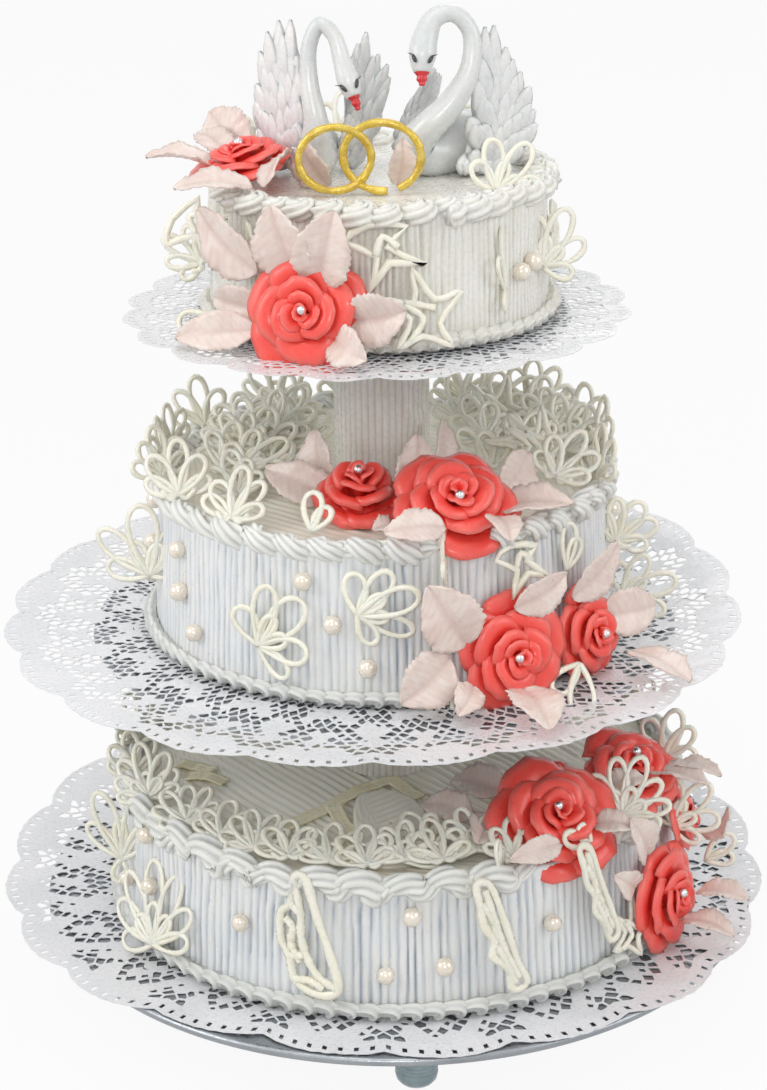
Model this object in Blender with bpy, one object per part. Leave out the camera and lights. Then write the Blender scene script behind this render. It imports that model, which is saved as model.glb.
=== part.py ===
"""Three-tier wedding cake on a column stand, with piped borders, sugar roses, leaves, birds and rings.

Metres, +Z up. The origin is at floor level in the middle of the footprint; the decorated front looks towards -Y.
Everything is placed about the axis of the lowest tier first, and moved so that the footprint is centred at the end.
Every separate piece is one closed solid in its own object. Neighbours keep a gap of about 0.4 mm.
"""

import math

import bmesh
import bpy
from mathutils import Matrix, Vector

# ---- stand ----
GAP = 0.0004
UPPER_X = -0.007  # the upper two tiers stand a little to the left of the base axis
FOOT_R = 0.0122
FOOT_H = 0.0386
FOOT_RING_R = 0.165
FOOT_AZ = (272.7, 32.7, 152.7)
PLATE_T = 0.006
PLATE_BASE_R = 0.2155
PLATE_MID_R = 0.171
PLATE_TOP_R = 0.108
PLATE_BASE_TOP = 0.0460
PLATE_MID_TOP = 0.2200
PLATE_TOP_TOP = 0.4060
COLUMN_R = 0.0275
PLATE_BASE_AT = (0.0, 0.009)  # the lowest cake stands a little forward on its plate
COLUMN_RIBS = 12

# ---- doilies ----
DOILY_T = 0.001
DOILY_BASE_R = 0.234
DOILY_MID_R = 0.216
DOILY_TOP_R = 0.1435
DOILY_LOBES = 20
DOILY_BASE_AT = (-0.010, 0.024)  # the papers lie off centre, and the lowest one leaves the front of the plate bare
DOILY_MID_AT = (UPPER_X - 0.007, 0.0)
DOILY_TOP_AT = (UPPER_X - 0.002, 0.0)

# ---- cakes: side radius at the bottom and at the top, height to the iced top ----
BOTTOM_R0, BOTTOM_R1, BOTTOM_H = 0.1690, 0.1635, 0.0782
MIDDLE_R0, MIDDLE_R1, MIDDLE_H = 0.1350, 0.1300, 0.0872
TOP_R0, TOP_R1, TOP_H = 0.0955, 0.0945, 0.0732
BORDER_TOP_H = 0.008
BORDER_TOP_W = 0.018
BORDER_FOOT_H = 0.010
BORDER_FOOT_OUT = 0.005

BASE_CAKE_Z = PLATE_BASE_TOP + DOILY_T + 2 * GAP
MID_CAKE_Z = PLATE_MID_TOP + DOILY_T + 2 * GAP
TOP_CAKE_Z = PLATE_TOP_TOP + DOILY_T + 2 * GAP
BOTTOM_TOP_Z = BASE_CAKE_Z + BOTTOM_H
MIDDLE_TOP_Z = MID_CAKE_Z + MIDDLE_H
TOP_TOP_Z = TOP_CAKE_Z + TOP_H

TIER_X = {"b": 0.0, "m": UPPER_X, "t": UPPER_X}
RECENTRE = (0.010, -0.02095)  # from the axis of the lowest cake to the middle of the footprint

# ---- roses: tier, azimuth, distance from the tier axis and height of the back of the flower, radius, depth,
#      and the azimuth and elevation that the flower faces (degrees and millimetres) ----
ROSES = {
    "rose_top_left": ("t", 189, 74, 486, 27.0, 19, 205, 76),
    "rose_top_front": ("t", 248, 99, 431, 30.5, 21, 256, 14),
    "rose_mid_bud": ("m", 260, 74, 310, 23.0, 31, 268, 74),
    "rose_mid_big": ("m", 291, 102, 317, 31.5, 24, 284, 50),
    "rose_mid_side": ("m", 299, 136, 246, 31.0, 20, 296, 12),
    "rose_mid_edge": ("m", 322, 136, 243, 24.5, 19, 320, 12),
    "rose_base_big": ("b", 308, 138, 134, 34.0, 26, 290, 50),
    "rose_base_back": ("b", 338, 143, 135, 28.0, 24, 300, 56),
    "rose_base_side": ("b", 330, 169, 78, 29.5, 21, 328, 8),
    "rose_base_hidden": ("b", 326, 104, 128, 20.0, 20, 290, 70),
    "rose_base_bud": ("b", 345, 167, 105, 18.5, 15, 345, 20),
}

# ---- leaves: tier, base (azimuth, distance, height), tip (azimuth, distance, height), width, outward facing 0..1 ----
LEAVES = {
    "leaf_top_1": ("t", (190, 90, 492), (188, 128, 497), 22, 0.2),
    "leaf_top_2": ("t", (160, 80, 490), (152, 107, 509), 24, 0.5),
    "leaf_top_3": ("t", (222, 90, 491), (211, 126, 490), 20, 0.3),
    "leaf_top_4": ("t", (246, 103, 450), (239, 108, 489), 27, 1.0),
    "leaf_top_5": ("t", (252, 105, 446), (258, 109, 489), 26, 1.0),
    "leaf_top_6": ("t", (261, 107, 430), (277, 111, 436), 24, 1.0),
    "leaf_top_7": ("t", (257, 112, 421), (267, 128, 414), 18, 0.8),
    "leaf_top_8": ("t", (232, 105, 450), (209, 109, 478), 26, 1.0),
    "leaf_mid_1": ("m", (246, 66, 314), (213, 78, 326), 20, 0.5),
    "leaf_mid_2": ("m", (236, 56, 316), (222, 48, 346), 22, 0.9),
    "leaf_mid_3": ("m", (280, 84, 314), (288, 62, 351), 20, 0.9),
    "leaf_mid_4": ("m", (303, 112, 320), (314, 147, 325), 22, 0.3),
    "leaf_mid_5": ("m", (288, 143, 258), (279, 145, 296), 28, 1.0),
    "leaf_mid_6": ("m", (284, 144, 252), (273, 152, 232), 26, 0.9),
    "leaf_mid_7": ("m", (316, 143, 270), (331, 147, 291), 22, 1.0),
    "leaf_mid_8": ("m", (325, 146, 252), (338, 164, 249), 22, 0.8),
    "leaf_mid_9": ("m", (325, 166, 236), (321, 211, 232), 22, 0.3),
    "leaf_mid_10": ("m", (297, 162, 236), (294, 208, 232), 24, 0.3),
    "leaf_base_1": ("b", (307, 98, 141), (295, 72, 141), 24, 0.3),
    "leaf_base_2": ("b", (292, 108, 137), (279, 86, 137), 20, 0.3),
    "leaf_base_3": ("b", (338, 156, 143), (335, 193, 145), 24, 0.3),
    "leaf_base_4": ("b", (330, 188, 66), (330, 220, 62), 18, 0.4),
}

COLOURS = {
    "cream": (0.86, 0.84, 0.78),
    "ivory": (0.78, 0.72, 0.55),
    "rose": (0.80, 0.12, 0.09),
    "leaf": (0.78, 0.62, 0.58),
    "gold": (0.68, 0.48, 0.04),
    "paper": (0.88, 0.88, 0.90),
    "steel": (0.32, 0.33, 0.35),
}


def clear_scene():
    for obj in list(bpy.data.objects):
        bpy.data.objects.remove(obj, do_unlink=True)


def material(name):
    found = bpy.data.materials.get(name)
    if found:
        return found
    made = bpy.data.materials.new(name)
    made.use_nodes = True
    shader = made.node_tree.nodes["Principled BSDF"]
    shader.inputs["Base Color"].default_value = (*COLOURS[name], 1.0)
    shader.inputs["Roughness"].default_value = 0.45
    if name in ("gold", "steel"):
        shader.inputs["Metallic"].default_value = 0.8
    made.diffuse_color = (*COLOURS[name], 1.0)
    return made


def add_object(name, mesh, colour):
    obj = bpy.data.objects.new(name, mesh)
    bpy.context.scene.collection.objects.link(obj)
    own = material(colour).copy()
    own.name = name + "_mat"
    mesh.materials.clear()
    mesh.materials.append(own)
    return obj


def mesh_from(points, faces):
    mesh = bpy.data.meshes.new("made")
    mesh.from_pydata([tuple(p) for p in points], [], faces)
    mesh.update()
    bm = bmesh.new()
    bm.from_mesh(mesh)
    bmesh.ops.remove_doubles(bm, verts=bm.verts, dist=1e-7)
    bmesh.ops.triangulate(bm, faces=bm.faces)
    bmesh.ops.recalc_face_normals(bm, faces=bm.faces)
    if bm.calc_volume(signed=True) < 0:
        bmesh.ops.reverse_faces(bm, faces=bm.faces)
    bm.to_mesh(mesh)
    bm.free()
    return mesh


def at(tier, azimuth, distance_mm, height_mm):
    a = math.radians(azimuth)
    d = distance_mm / 1000.0
    return Vector((TIER_X[tier] + d * math.cos(a), d * math.sin(a), height_mm / 1000.0))


def smooth(t):
    t = max(0.0, min(1.0, t))
    return t * t * (3 - 2 * t)


def turned(profile, segments, centre=(0.0, 0.0), wobble=None):
    """A closed solid turned about a vertical axis. The profile runs (radius, z) from the bottom axis point
    to the top axis point; wobble(azimuth, index) scales a radius."""
    points = []
    faces = []
    low = len(points)
    points.append((centre[0], centre[1], profile[0][1]))
    rings = []
    for index, (radius, z) in enumerate(profile[1:-1]):
        ring = []
        for s in range(segments):
            a = 2 * math.pi * s / segments
            r = radius * (wobble(a, index) if wobble else 1.0)
            ring.append(len(points))
            points.append((centre[0] + r * math.cos(a), centre[1] + r * math.sin(a), z))
        rings.append(ring)
    high = len(points)
    points.append((centre[0], centre[1], profile[-1][1]))
    for s in range(segments):
        n = (s + 1) % segments
        faces.append((low, rings[0][n], rings[0][s]))
        faces.append((high, rings[-1][s], rings[-1][n]))
        for one, two in zip(rings, rings[1:]):
            faces.append((one[s], one[n], two[n], two[s]))
    return mesh_from(points, faces)


def make_plate(name, radius, top, centre):
    low = top - PLATE_T
    profile = [
        (0, low),
        (radius - 0.010, low),
        (radius - 0.001, low + 0.0025),
        (radius, low + 0.0045),
        (radius - 0.0015, top),
        (0, top),
    ]
    return add_object(name, turned(profile, 32, centre), "steel")


def make_foot(name, azimuth):
    """A screwed levelling foot: threaded barrel, rounded end and a small flat to stand on."""
    a = math.radians(azimuth)
    x = PLATE_BASE_AT[0] + FOOT_RING_R * math.cos(a)
    y = PLATE_BASE_AT[1] + FOOT_RING_R * math.sin(a)
    top = PLATE_BASE_TOP - PLATE_T - GAP
    profile = [(0, 0.0), (FOOT_R * 0.55, 0.0), (FOOT_R * 0.86, 0.0016), (FOOT_R, 0.0052)]
    for z in (0.0110, 0.0180, 0.0250):
        profile.append((FOOT_R, z))
        profile.append((FOOT_R - 0.0013, z + 0.0016))
    profile.append((FOOT_R, top))
    profile.append((0, top))
    return add_object(name, turned(profile, 10, (x, y)), "steel")


def doily_lift(tier, azimuth):
    """How far the free rim of a doily stands above its plate, in metres: paper that has curled a little."""
    c = math.cos(azimuth - math.radians(50))
    if tier == "m":
        return 0.004 + 0.014 * max(0.0, c) ** 2
    if tier == "b":
        back = max(0.0, math.sin(azimuth))
        return 0.012 * back
    return 0.001


def doily_height(tier, plate_r, radius, azimuth, z0, r):
    t = (r - (plate_r - 0.012)) / (radius - plate_r + 0.012)
    return z0 + doily_lift(tier, azimuth) * smooth(t)


def make_doily(name, tier, plate_r, radius, z0, centre, rings):
    segments = DOILY_LOBES * 3
    points = []
    faces = []
    top = []
    bottom = []
    radii = [plate_r - 0.012 + (radius - plate_r + 0.012) * k / rings for k in range(rings + 1)]
    for layer, store in ((DOILY_T, top), (0.0, bottom)):
        middle = len(points)
        points.append((centre[0], centre[1], z0 + layer))
        store.append([middle])
        for k, base_r in enumerate(radii):
            row = []
            for s in range(segments):
                a = 2 * math.pi * s / segments
                lobe = abs(math.sin(DOILY_LOBES * a / 2))
                r = base_r
                if k == len(radii) - 1:
                    r = radius - 0.009 * (1 - lobe ** 0.7)
                z = doily_height(tier, plate_r, radius, a, z0, r) + layer
                row.append(len(points))
                points.append((centre[0] + r * math.cos(a), centre[1] + r * math.sin(a), z))
            store.append(row)
    for store in (top, bottom):
        for s in range(segments):
            n = (s + 1) % segments
            faces.append((store[0][0], store[1][s], store[1][n]))
            for one, two in zip(store[1:], store[2:]):
                faces.append((one[s], two[s], two[n], one[n]))
    for s in range(segments):
        n = (s + 1) % segments
        faces.append((top[-1][s], bottom[-1][s], bottom[-1][n], top[-1][n]))
    return add_object(name, mesh_from(points, faces), "paper")


def make_cake(name, r0, r1, height, z, centre_x, shells):
    """The iced tier with its piped borders: a bead round the foot and a raised rope round the top."""
    top = z + height
    profile = [
        (0, z),
        (r0 + BORDER_FOOT_OUT, z),
        (r0 + 0.003, z + BORDER_FOOT_H),
        (r0 - 0.001, z + BORDER_FOOT_H + 0.002),
        (r1 - 0.001, top - 0.007),
        (r1 + 0.004, top - 0.001),
        (r1 + 0.002, top + 0.006),
        (r1 - 0.006, top + BORDER_TOP_H),
        (r1 - BORDER_TOP_W, top),
        (0, top),
    ]

    def wobble(a, index):
        if index in (4, 5, 6):
            return 1.0 + 0.008 * math.cos(shells * a)
        return 1.0

    return add_object(name, turned(profile, shells * 2, (centre_x, 0.0), wobble), "cream")


def make_column(name, z0, z1, centre_x):
    segments = COLUMN_RIBS * 2

    def wobble(a, index):
        return 1.0 if index in (0, 3) else 1.0 + 0.03 * math.cos(COLUMN_RIBS * a)

    profile = [
        (0, z0),
        (COLUMN_R - 0.001, z0),
        (COLUMN_R, z0 + 0.001),
        (COLUMN_R, z1 - 0.001),
        (COLUMN_R - 0.001, z1),
        (0, z1),
    ]
    return add_object(name, turned(profile, segments, (centre_x, 0.0), wobble), "cream")


def basis_towards(direction, hint=Vector((0, 0, 1))):
    """A rotation that takes local +Z to the direction."""
    z = direction.normalized()
    x = hint.cross(z)
    if x.length < 1e-4:
        x = Vector((1, 0, 0)).cross(z)
    x.normalize()
    y = z.cross(x)
    return Matrix((x, y, z)).transposed()


def make_rose(name, spec):
    """Rings of petals round a closed bud, on a flat back. The rings are turned against each other."""
    tier, azimuth, distance, height, radius_mm, depth_mm, face_az, face_el = spec
    radius = radius_mm / 1000.0
    depth = depth_mm / 1000.0
    rings = [
        (0.55, 0.00, 0, 0.0),
        (1.00, 0.42, 5, 0.07),
        (0.76, 0.44, 5, 0.05),
        (0.72, 0.76, 5, 0.08),
        (0.46, 0.68, 5, 0.05),
        (0.36, 0.97, 3, 0.08),
    ]
    segments = 10
    points = []
    faces = []
    rows = []
    for index, (r, z, lobes, amount) in enumerate(rings):
        row = []
        for s in range(segments):
            a = 2 * math.pi * s / segments + 0.21 * index
            rr = radius * r * (1 + amount * math.cos(lobes * a + 0.9 * index))
            zz = depth * z * (1 + 0.10 * math.sin(lobes * a + 0.4) * (1 if index else 0))
            row.append(len(points))
            points.append(Vector((rr * math.cos(a), rr * math.sin(a), zz)))
        rows.append(row)
    low = len(points)
    points.append(Vector((0, 0, 0)))
    high = len(points)
    points.append(Vector((0, 0, depth * 0.82)))
    for s in range(segments):
        n = (s + 1) % segments
        faces.append((low, rows[0][n], rows[0][s]))
        faces.append((high, rows[-1][s], rows[-1][n]))
        for one, two in zip(rows, rows[1:]):
            faces.append((one[s], one[n], two[n], two[s]))
    fa = math.radians(face_az)
    fe = math.radians(face_el)
    facing = Vector((math.cos(fa) * math.cos(fe), math.sin(fa) * math.cos(fe), math.sin(fe)))
    turn = basis_towards(facing)
    place = at(tier, azimuth, distance, height)
    return add_object(name, mesh_from([place + turn @ p for p in points], faces), "rose")


def make_leaf(name, spec):
    """A thin leaf, folded along its midrib, with a toothed edge and a tip that curls back."""
    tier, base, tip, width_mm, outward = spec
    start = at(tier, *base)
    end = at(tier, *tip)
    along = end - start
    length = along.length
    along.normalize()
    a = math.radians(0.5 * (base[0] + tip[0]))
    normal = Vector((math.cos(a), math.sin(a), 0)) * outward + Vector((0, 0, 1)) * (1 - outward)
    side = along.cross(normal).normalized()
    normal = side.cross(along).normalized()
    half = width_mm / 2000.0
    thick = 0.0011
    stations = 6
    left = []
    right = []
    middle = []
    points = []
    for layer in (1, 0):
        for k in range(1, stations):
            t = k / stations
            w = half * (math.sin(math.pi * t ** 0.85)) ** 0.75
            w *= 1.0 + (0.07 if k % 2 else -0.05)
            arch = 0.0035 * math.sin(math.pi * t) + 0.002 * t
            centre = start + along * (length * t) + normal * (arch - (0 if layer else thick))
            fold = normal * (0.24 * w)
            left.append(len(points))
            points.append(centre - side * w + fold)
            middle.append(len(points))
            points.append(centre)
            right.append(len(points))
            points.append(centre + side * w + fold)
    root = len(points)
    points.append(start - normal * (thick / 2))
    point = len(points)
    points.append(end + normal * (0.002 - thick / 2))
    count = stations - 1
    faces = []
    for layer in (0, 1):
        o = layer * count
        for k in range(count - 1):
            for one, two in ((left, middle), (middle, right)):
                faces.append((one[o + k], two[o + k], two[o + k + 1], one[o + k + 1]))
        for one, two in ((left, middle), (middle, right)):
            faces.append((root, two[o], one[o]))
            faces.append((point, one[o + count - 1], two[o + count - 1]))
    for row in (left, right):
        for k in range(count - 1):
            faces.append((row[k], row[k + 1], row[count + k + 1], row[count + k]))
        faces.append((root, row[0], row[count]))
        faces.append((point, row[count - 1], row[2 * count - 1]))
    return add_object(name, mesh_from(points, faces), "leaf")


def spline(points, per_span):
    """Points on a smooth curve through the given ones; each is a list of numbers."""
    out = []
    last = len(points) - 1
    for i in range(last):
        p0 = points[max(i - 1, 0)]
        p1 = points[i]
        p2 = points[i + 1]
        p3 = points[min(i + 2, last)]
        for k in range(per_span):
            t = k / per_span
            row = []
            for a, b, c, d in zip(p0, p1, p2, p3):
                row.append(
                    0.5
                    * (
                        2 * b
                        + (c - a) * t
                        + (2 * a - 5 * b + 4 * c - d) * t * t
                        + (3 * b - a - 3 * c + d) * t ** 3
                    )
                )
            out.append(row)
    out.append(list(points[-1]))
    return out


def tube_mesh(stations, sides, closed=False, flat=1.0):
    """A round tube through stations (x, y, z, radius), capped at both ends unless closed."""
    rings = []
    points = []
    count = len(stations)
    side = None
    for i, (x, y, z, r) in enumerate(stations):
        here = Vector((x, y, z))
        before = stations[(i - 1) % count] if closed or i else stations[i]
        after = stations[(i + 1) % count] if closed or i < count - 1 else stations[i]
        along = (Vector(after[:3]) - Vector(before[:3])).normalized()
        if side is None:
            side = along.cross(Vector((0, 1, 0)))
            if side.length < 0.2:
                side = along.cross(Vector((1, 0, 0)))
        side = (side - along * side.dot(along)).normalized()
        other = along.cross(side)
        ring = []
        for s in range(sides):
            a = 2 * math.pi * s / sides
            ring.append(len(points))
            points.append(here + side * (r * math.cos(a)) + other * (r * flat * math.sin(a)))
        rings.append(ring)
    faces = []
    pairs = list(zip(rings, rings[1:]))
    if closed:
        pairs.append((rings[-1], rings[0]))
    for one, two in pairs:
        for s in range(sides):
            n = (s + 1) % sides
            faces.append((one[s], one[n], two[n], two[s]))
    if not closed:
        faces.append(tuple(reversed(rings[0])))
        faces.append(tuple(rings[-1]))
    return mesh_from(points, faces)


# Each bird: stations (x, y, z, radius) in millimetres, from the tail through the body, up the neck and to the beak.
BIRD_LEFT = [
    (-38, 46, 490, 4),
    (-38, 34, 496, 11),
    (-36, 18, 497, 15.5),
    (-35, 2, 496, 13.5),
    (-34, -8, 503, 8.5),
    (-34, -8, 516, 6.2),
    (-37, -4, 534, 5.0),
    (-37, -1, 553, 4.2),
    (-31, -1, 566, 4.0),
    (-23, -4, 560, 4.2),
    (-19, -7, 547, 5.0),
    (-15.5, -10, 536, 6.2),
    (-12.5, -13, 528, 4.0),
    (-10.5, -15, 522, 1.4),
]
BIRD_RIGHT = [
    (62, 44, 490, 4),
    (54, 34, 497, 13),
    (42, 18, 499, 17),
    (27, 4, 496, 14),
    (19, -6, 499, 10),
    (28, -12, 512, 7.5),
    (41, -10, 524, 6.2),
    (50, -6, 541, 5.2),
    (51, -3, 560, 4.8),
    (42, -3, 571, 4.8),
    (31, -5, 569, 5.6),
    (26, -8, 559, 7.0),
    (24.5, -12, 550, 7.4),
    (24, -16, 541, 4.2),
    (24, -18.5, 535.5, 1.6),
]


def make_bird(name, stations):
    rows = [[s[0] / 1000 + UPPER_X, s[1] / 1000, s[2] / 1000, s[3] / 1000] for s in stations]
    mesh = tube_mesh(spline(rows, 2), 8)
    return add_object(name, mesh, "cream")


# Each wing: root, middle of the outer edge, front point and back point of the fan (millimetres, tier axis),
# the number of feathers along its edge, and its thickness at the root.
WINGS = {
    "wing_left_outer": ((-52, 14, 484), [(-43, -2, 497), (-42, 0, 520), (-42, 6, 543), (-47, 12, 568),
                                         (-59, 18, 558), (-67, 22, 536), (-68, 24, 510), (-60, 24, 494)], 6.0),
    "wing_left_inner": ((-19, 22, 484), [(-22, 6, 496), (-18, 6, 512), (-12, 8, 530), (-14, 14, 552),
                                         (-6, 22, 556), (4, 28, 541), (4, 28, 520), (-8, 28, 498)], 5.0),
    "wing_right_outer": ((58, 8, 483), [(40, -12, 485), (50, -8, 520), (56, -4, 548), (59, 2, 566),
                                        (70, 8, 552), (78, 12, 540), (86, 14, 526), (88, 14, 508),
                                        (76, 10, 489)], 7.0),
    "wing_right_inner": ((12, 26, 484), [(10, 18, 492), (12, 20, 508), (20, 22, 524), (32, 26, 538),
                                         (34, 34, 530), (28, 38, 510), (20, 36, 494)], 5.0),
}


def make_wing(name, spec):
    """A raised wing: a fan of overlapping feathers, thickest at its root, with a stepped outer edge."""
    root, edge, thick = spec
    hub = Vector((root[0] / 1000 + UPPER_X, root[1] / 1000, root[2] / 1000))
    rim = [Vector((p[0] / 1000 + UPPER_X, p[1] / 1000, p[2] / 1000)) for p in edge]
    outline = []
    for one, two in zip(rim, rim[1:]):
        outline.append(one)
        outline.append(one.lerp(two, 0.5) * 0.90 + hub * 0.10)
    outline.append(rim[-1])
    normal = (rim[0] - hub).cross(rim[-1] - hub).normalized()
    points = []
    faces = []
    loops = []
    for sign in (1, -1):
        loop = []
        for p in outline:
            loop.append(len(points))
            points.append(p + normal * (sign * 0.0010))
        inner = []
        for p in outline:
            inner.append(len(points))
            points.append(hub.lerp(p, 0.5) + normal * (sign * thick / 2000 + 0.0020))
        hub_at = len(points)
        points.append(hub + normal * (sign * thick / 1600))
        loops.append((loop, inner, hub_at))
    for loop, inner, hub_at in loops:
        for k in range(len(loop) - 1):
            faces.append((loop[k], loop[k + 1], inner[k + 1], inner[k]))
            faces.append((inner[k], inner[k + 1], hub_at))
    (l0, i0, h0), (l1, i1, h1) = loops
    for k in range(len(l0) - 1):
        faces.append((l0[k], l1[k], l1[k + 1], l0[k + 1]))
    for end in (0, -1):
        faces.append((l0[end], i0[end], i1[end], l1[end]))
        faces.append((i0[end], h0, h1, i1[end]))
    return add_object(name, mesh_from(points, faces), "cream")


RINGS_Y = -0.040
RING_SQUASH = 0.88  # a little wider than tall
RING_TUBE = 0.0024
RING_LEFT = (-0.0235, 0.0181, 0.0195)
RING_RIGHT = (0.0020, 0.0190, 0.0210)


def ring_mesh(x, z, radius, turn, leave=0.0):
    rows = []
    steps = 18
    for s in range(steps):
        a = 2 * math.pi * s / steps - math.pi / 2
        dx = radius * math.cos(a)
        rows.append((
            UPPER_X + x + dx * math.cos(turn),
            RINGS_Y + dx * math.sin(turn),
            TOP_TOP_Z + GAP + z + RING_TUBE + RING_SQUASH * radius * math.sin(a) - 0.0008,
            RING_TUBE * (1.0 + 0.12 * math.sin(3 * a + x * 90)),
        ))
    return tube_mesh(rows, 5, closed=True)


def baked(obj):
    """The object's shape with its modifiers, as a mesh of its own."""
    graph = bpy.context.evaluated_depsgraph_get()
    return bpy.data.meshes.new_from_object(obj.evaluated_get(graph))


def boolean(obj, tool_mesh, operation):
    tool = bpy.data.objects.new("tool", tool_mesh)
    bpy.context.scene.collection.objects.link(tool)
    step = obj.modifiers.new("step", "BOOLEAN")
    step.operation = operation
    step.solver = "EXACT"
    step.object = tool
    bpy.context.view_layer.update()
    made = baked(obj)
    obj.modifiers.remove(step)
    bpy.data.objects.remove(tool, do_unlink=True)
    keep_largest(made)
    obj.data = made


def keep_largest(mesh):
    bm = bmesh.new()
    bm.from_mesh(mesh)
    bmesh.ops.remove_doubles(bm, verts=bm.verts, dist=2e-6)
    bmesh.ops.dissolve_degenerate(bm, dist=2e-6, edges=bm.edges)
    bm.verts.ensure_lookup_table()
    left = set(bm.verts)
    groups = []
    while left:
        seed = left.pop()
        group = {seed}
        stack = [seed]
        while stack:
            vert = stack.pop()
            for edge in vert.link_edges:
                other = edge.other_vert(vert)
                if other in left:
                    left.discard(other)
                    group.add(other)
                    stack.append(other)
        groups.append(group)
    if len(groups) > 1:
        def extent(group):
            size = [max(v.co[i] for v in group) - min(v.co[i] for v in group) for i in range(3)]
            return size[0] * size[0] + size[1] * size[1] + size[2] * size[2]

        groups.sort(key=extent, reverse=True)
        gone = [v for group in groups[1:] for v in group]
        bmesh.ops.delete(bm, geom=gone, context="VERTS")
    bmesh.ops.triangulate(bm, faces=bm.faces)
    bm.to_mesh(mesh)
    bm.free()


def swollen(obj, amount):
    mesh = obj.data.copy()
    bm = bmesh.new()
    bm.from_mesh(mesh)
    bm.normal_update()
    moves = {}
    for vert in bm.verts:
        factor = min(2.5, vert.calc_shell_factor())
        moves[vert] = vert.normal * (amount * factor)
    for vert, move in moves.items():
        vert.co += move
    bm.to_mesh(mesh)
    bm.free()
    return mesh


def box_of(obj):
    cos = [v.co for v in obj.data.vertices]
    low = [min(c[i] for c in cos) for i in range(3)]
    high = [max(c[i] for c in cos) for i in range(3)]
    return low, high


def boxes_meet(one, two, margin):
    low1, high1 = box_of(one)
    low2, high2 = box_of(two)
    return all(low1[i] - margin < high2[i] and low2[i] - margin < high1[i] for i in range(3))


def trim(obj, neighbours):
    """Cuts the object back to a small gap from every neighbour it would run into."""
    for other in neighbours:
        if other is not obj and boxes_meet(obj, other, 0.001):
            boolean(obj, swollen(other, 0.00045), "DIFFERENCE")


# Ribbons on the lowest cake: points (azimuth, distance) in degrees and millimetres.
RIBBONS = {
    "ribbon_curved": ([(234, 126), (237, 96), (241, 66), (249, 44), (262, 36), (274, 45), (281, 60)], 9.0, 0.0),
    "ribbon_straight": ([(241, 78), (249, 92), (255, 106), (258, 118)], 9.5, 0.0),
    "ribbon_band_1": ([(184, 132), (186, 122), (190, 112)], 9.0, 0.0),
    "ribbon_band_2": ([(191, 128), (193, 118), (198, 108)], 9.0, 0.0),
}
RIBBON_T = 0.0016


def make_ribbon(name, spec):
    path, width_mm, lift = spec
    rows = []
    for azimuth, distance in path:
        p = at("b", azimuth, distance, 0)
        rows.append([p.x, p.y])
    line = spline(rows, 2)
    half = width_mm / 2000
    z0 = BOTTOM_TOP_Z + GAP + lift
    points = []
    for i, (x, y) in enumerate(line):
        a = line[max(i - 1, 0)]
        b = line[min(i + 1, len(line) - 1)]
        along = Vector((b[0] - a[0], b[1] - a[1], 0)).normalized()
        side = Vector((-along.y, along.x, 0)) * half
        wave = 0.0012 * math.sin(2.1 * i)
        for z in (z0, z0 + RIBBON_T + max(0.0, wave)):
            points.append(Vector((x, y, z)) - side)
            points.append(Vector((x, y, z)) + side)
    faces = []
    last = len(line) - 1
    for i in range(last):
        o = 4 * i
        n = o + 4
        faces.append((o, o + 1, n + 1, n))
        faces.append((o + 2, n + 2, n + 3, o + 3))
        faces.append((o, n, n + 2, o + 2))
        faces.append((o + 1, o + 3, n + 3, n + 1))
    faces.append((0, 2, 3, 1))
    e = 4 * last
    faces.append((e, e + 1, e + 3, e + 2))
    return add_object(name, mesh_from(points, faces), "ivory")


# The raised combed slab of cream beside the ribbons: outline (azimuth, distance).
PANEL = [(247, 62), (262, 50), (275, 58), (281, 74), (280, 100), (276, 124), (271, 140), (263, 140), (259, 122),
         (254, 96)]
PANEL_T = 0.0045


def make_panel(name):
    rim = [at("b", azimuth, distance, 0) for azimuth, distance in PANEL]
    centre = sum(rim, Vector()) / len(rim)
    points = []
    for z, grow in ((0.0, 1.0), (PANEL_T * 0.7, 1.0), (PANEL_T, 0.94)):
        for p in rim:
            q = centre.lerp(p, grow)
            points.append(Vector((q.x, q.y, BOTTOM_TOP_Z + GAP + z)))
    n = len(rim)
    faces = [tuple(range(n)), tuple(range(2 * n, 3 * n))]
    for layer in (0, n):
        for k in range(n):
            m = (k + 1) % n
            faces.append((layer + k, layer + m, layer + n + m, layer + n + k))
    return add_object(name, mesh_from(points, faces), "cream")


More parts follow.
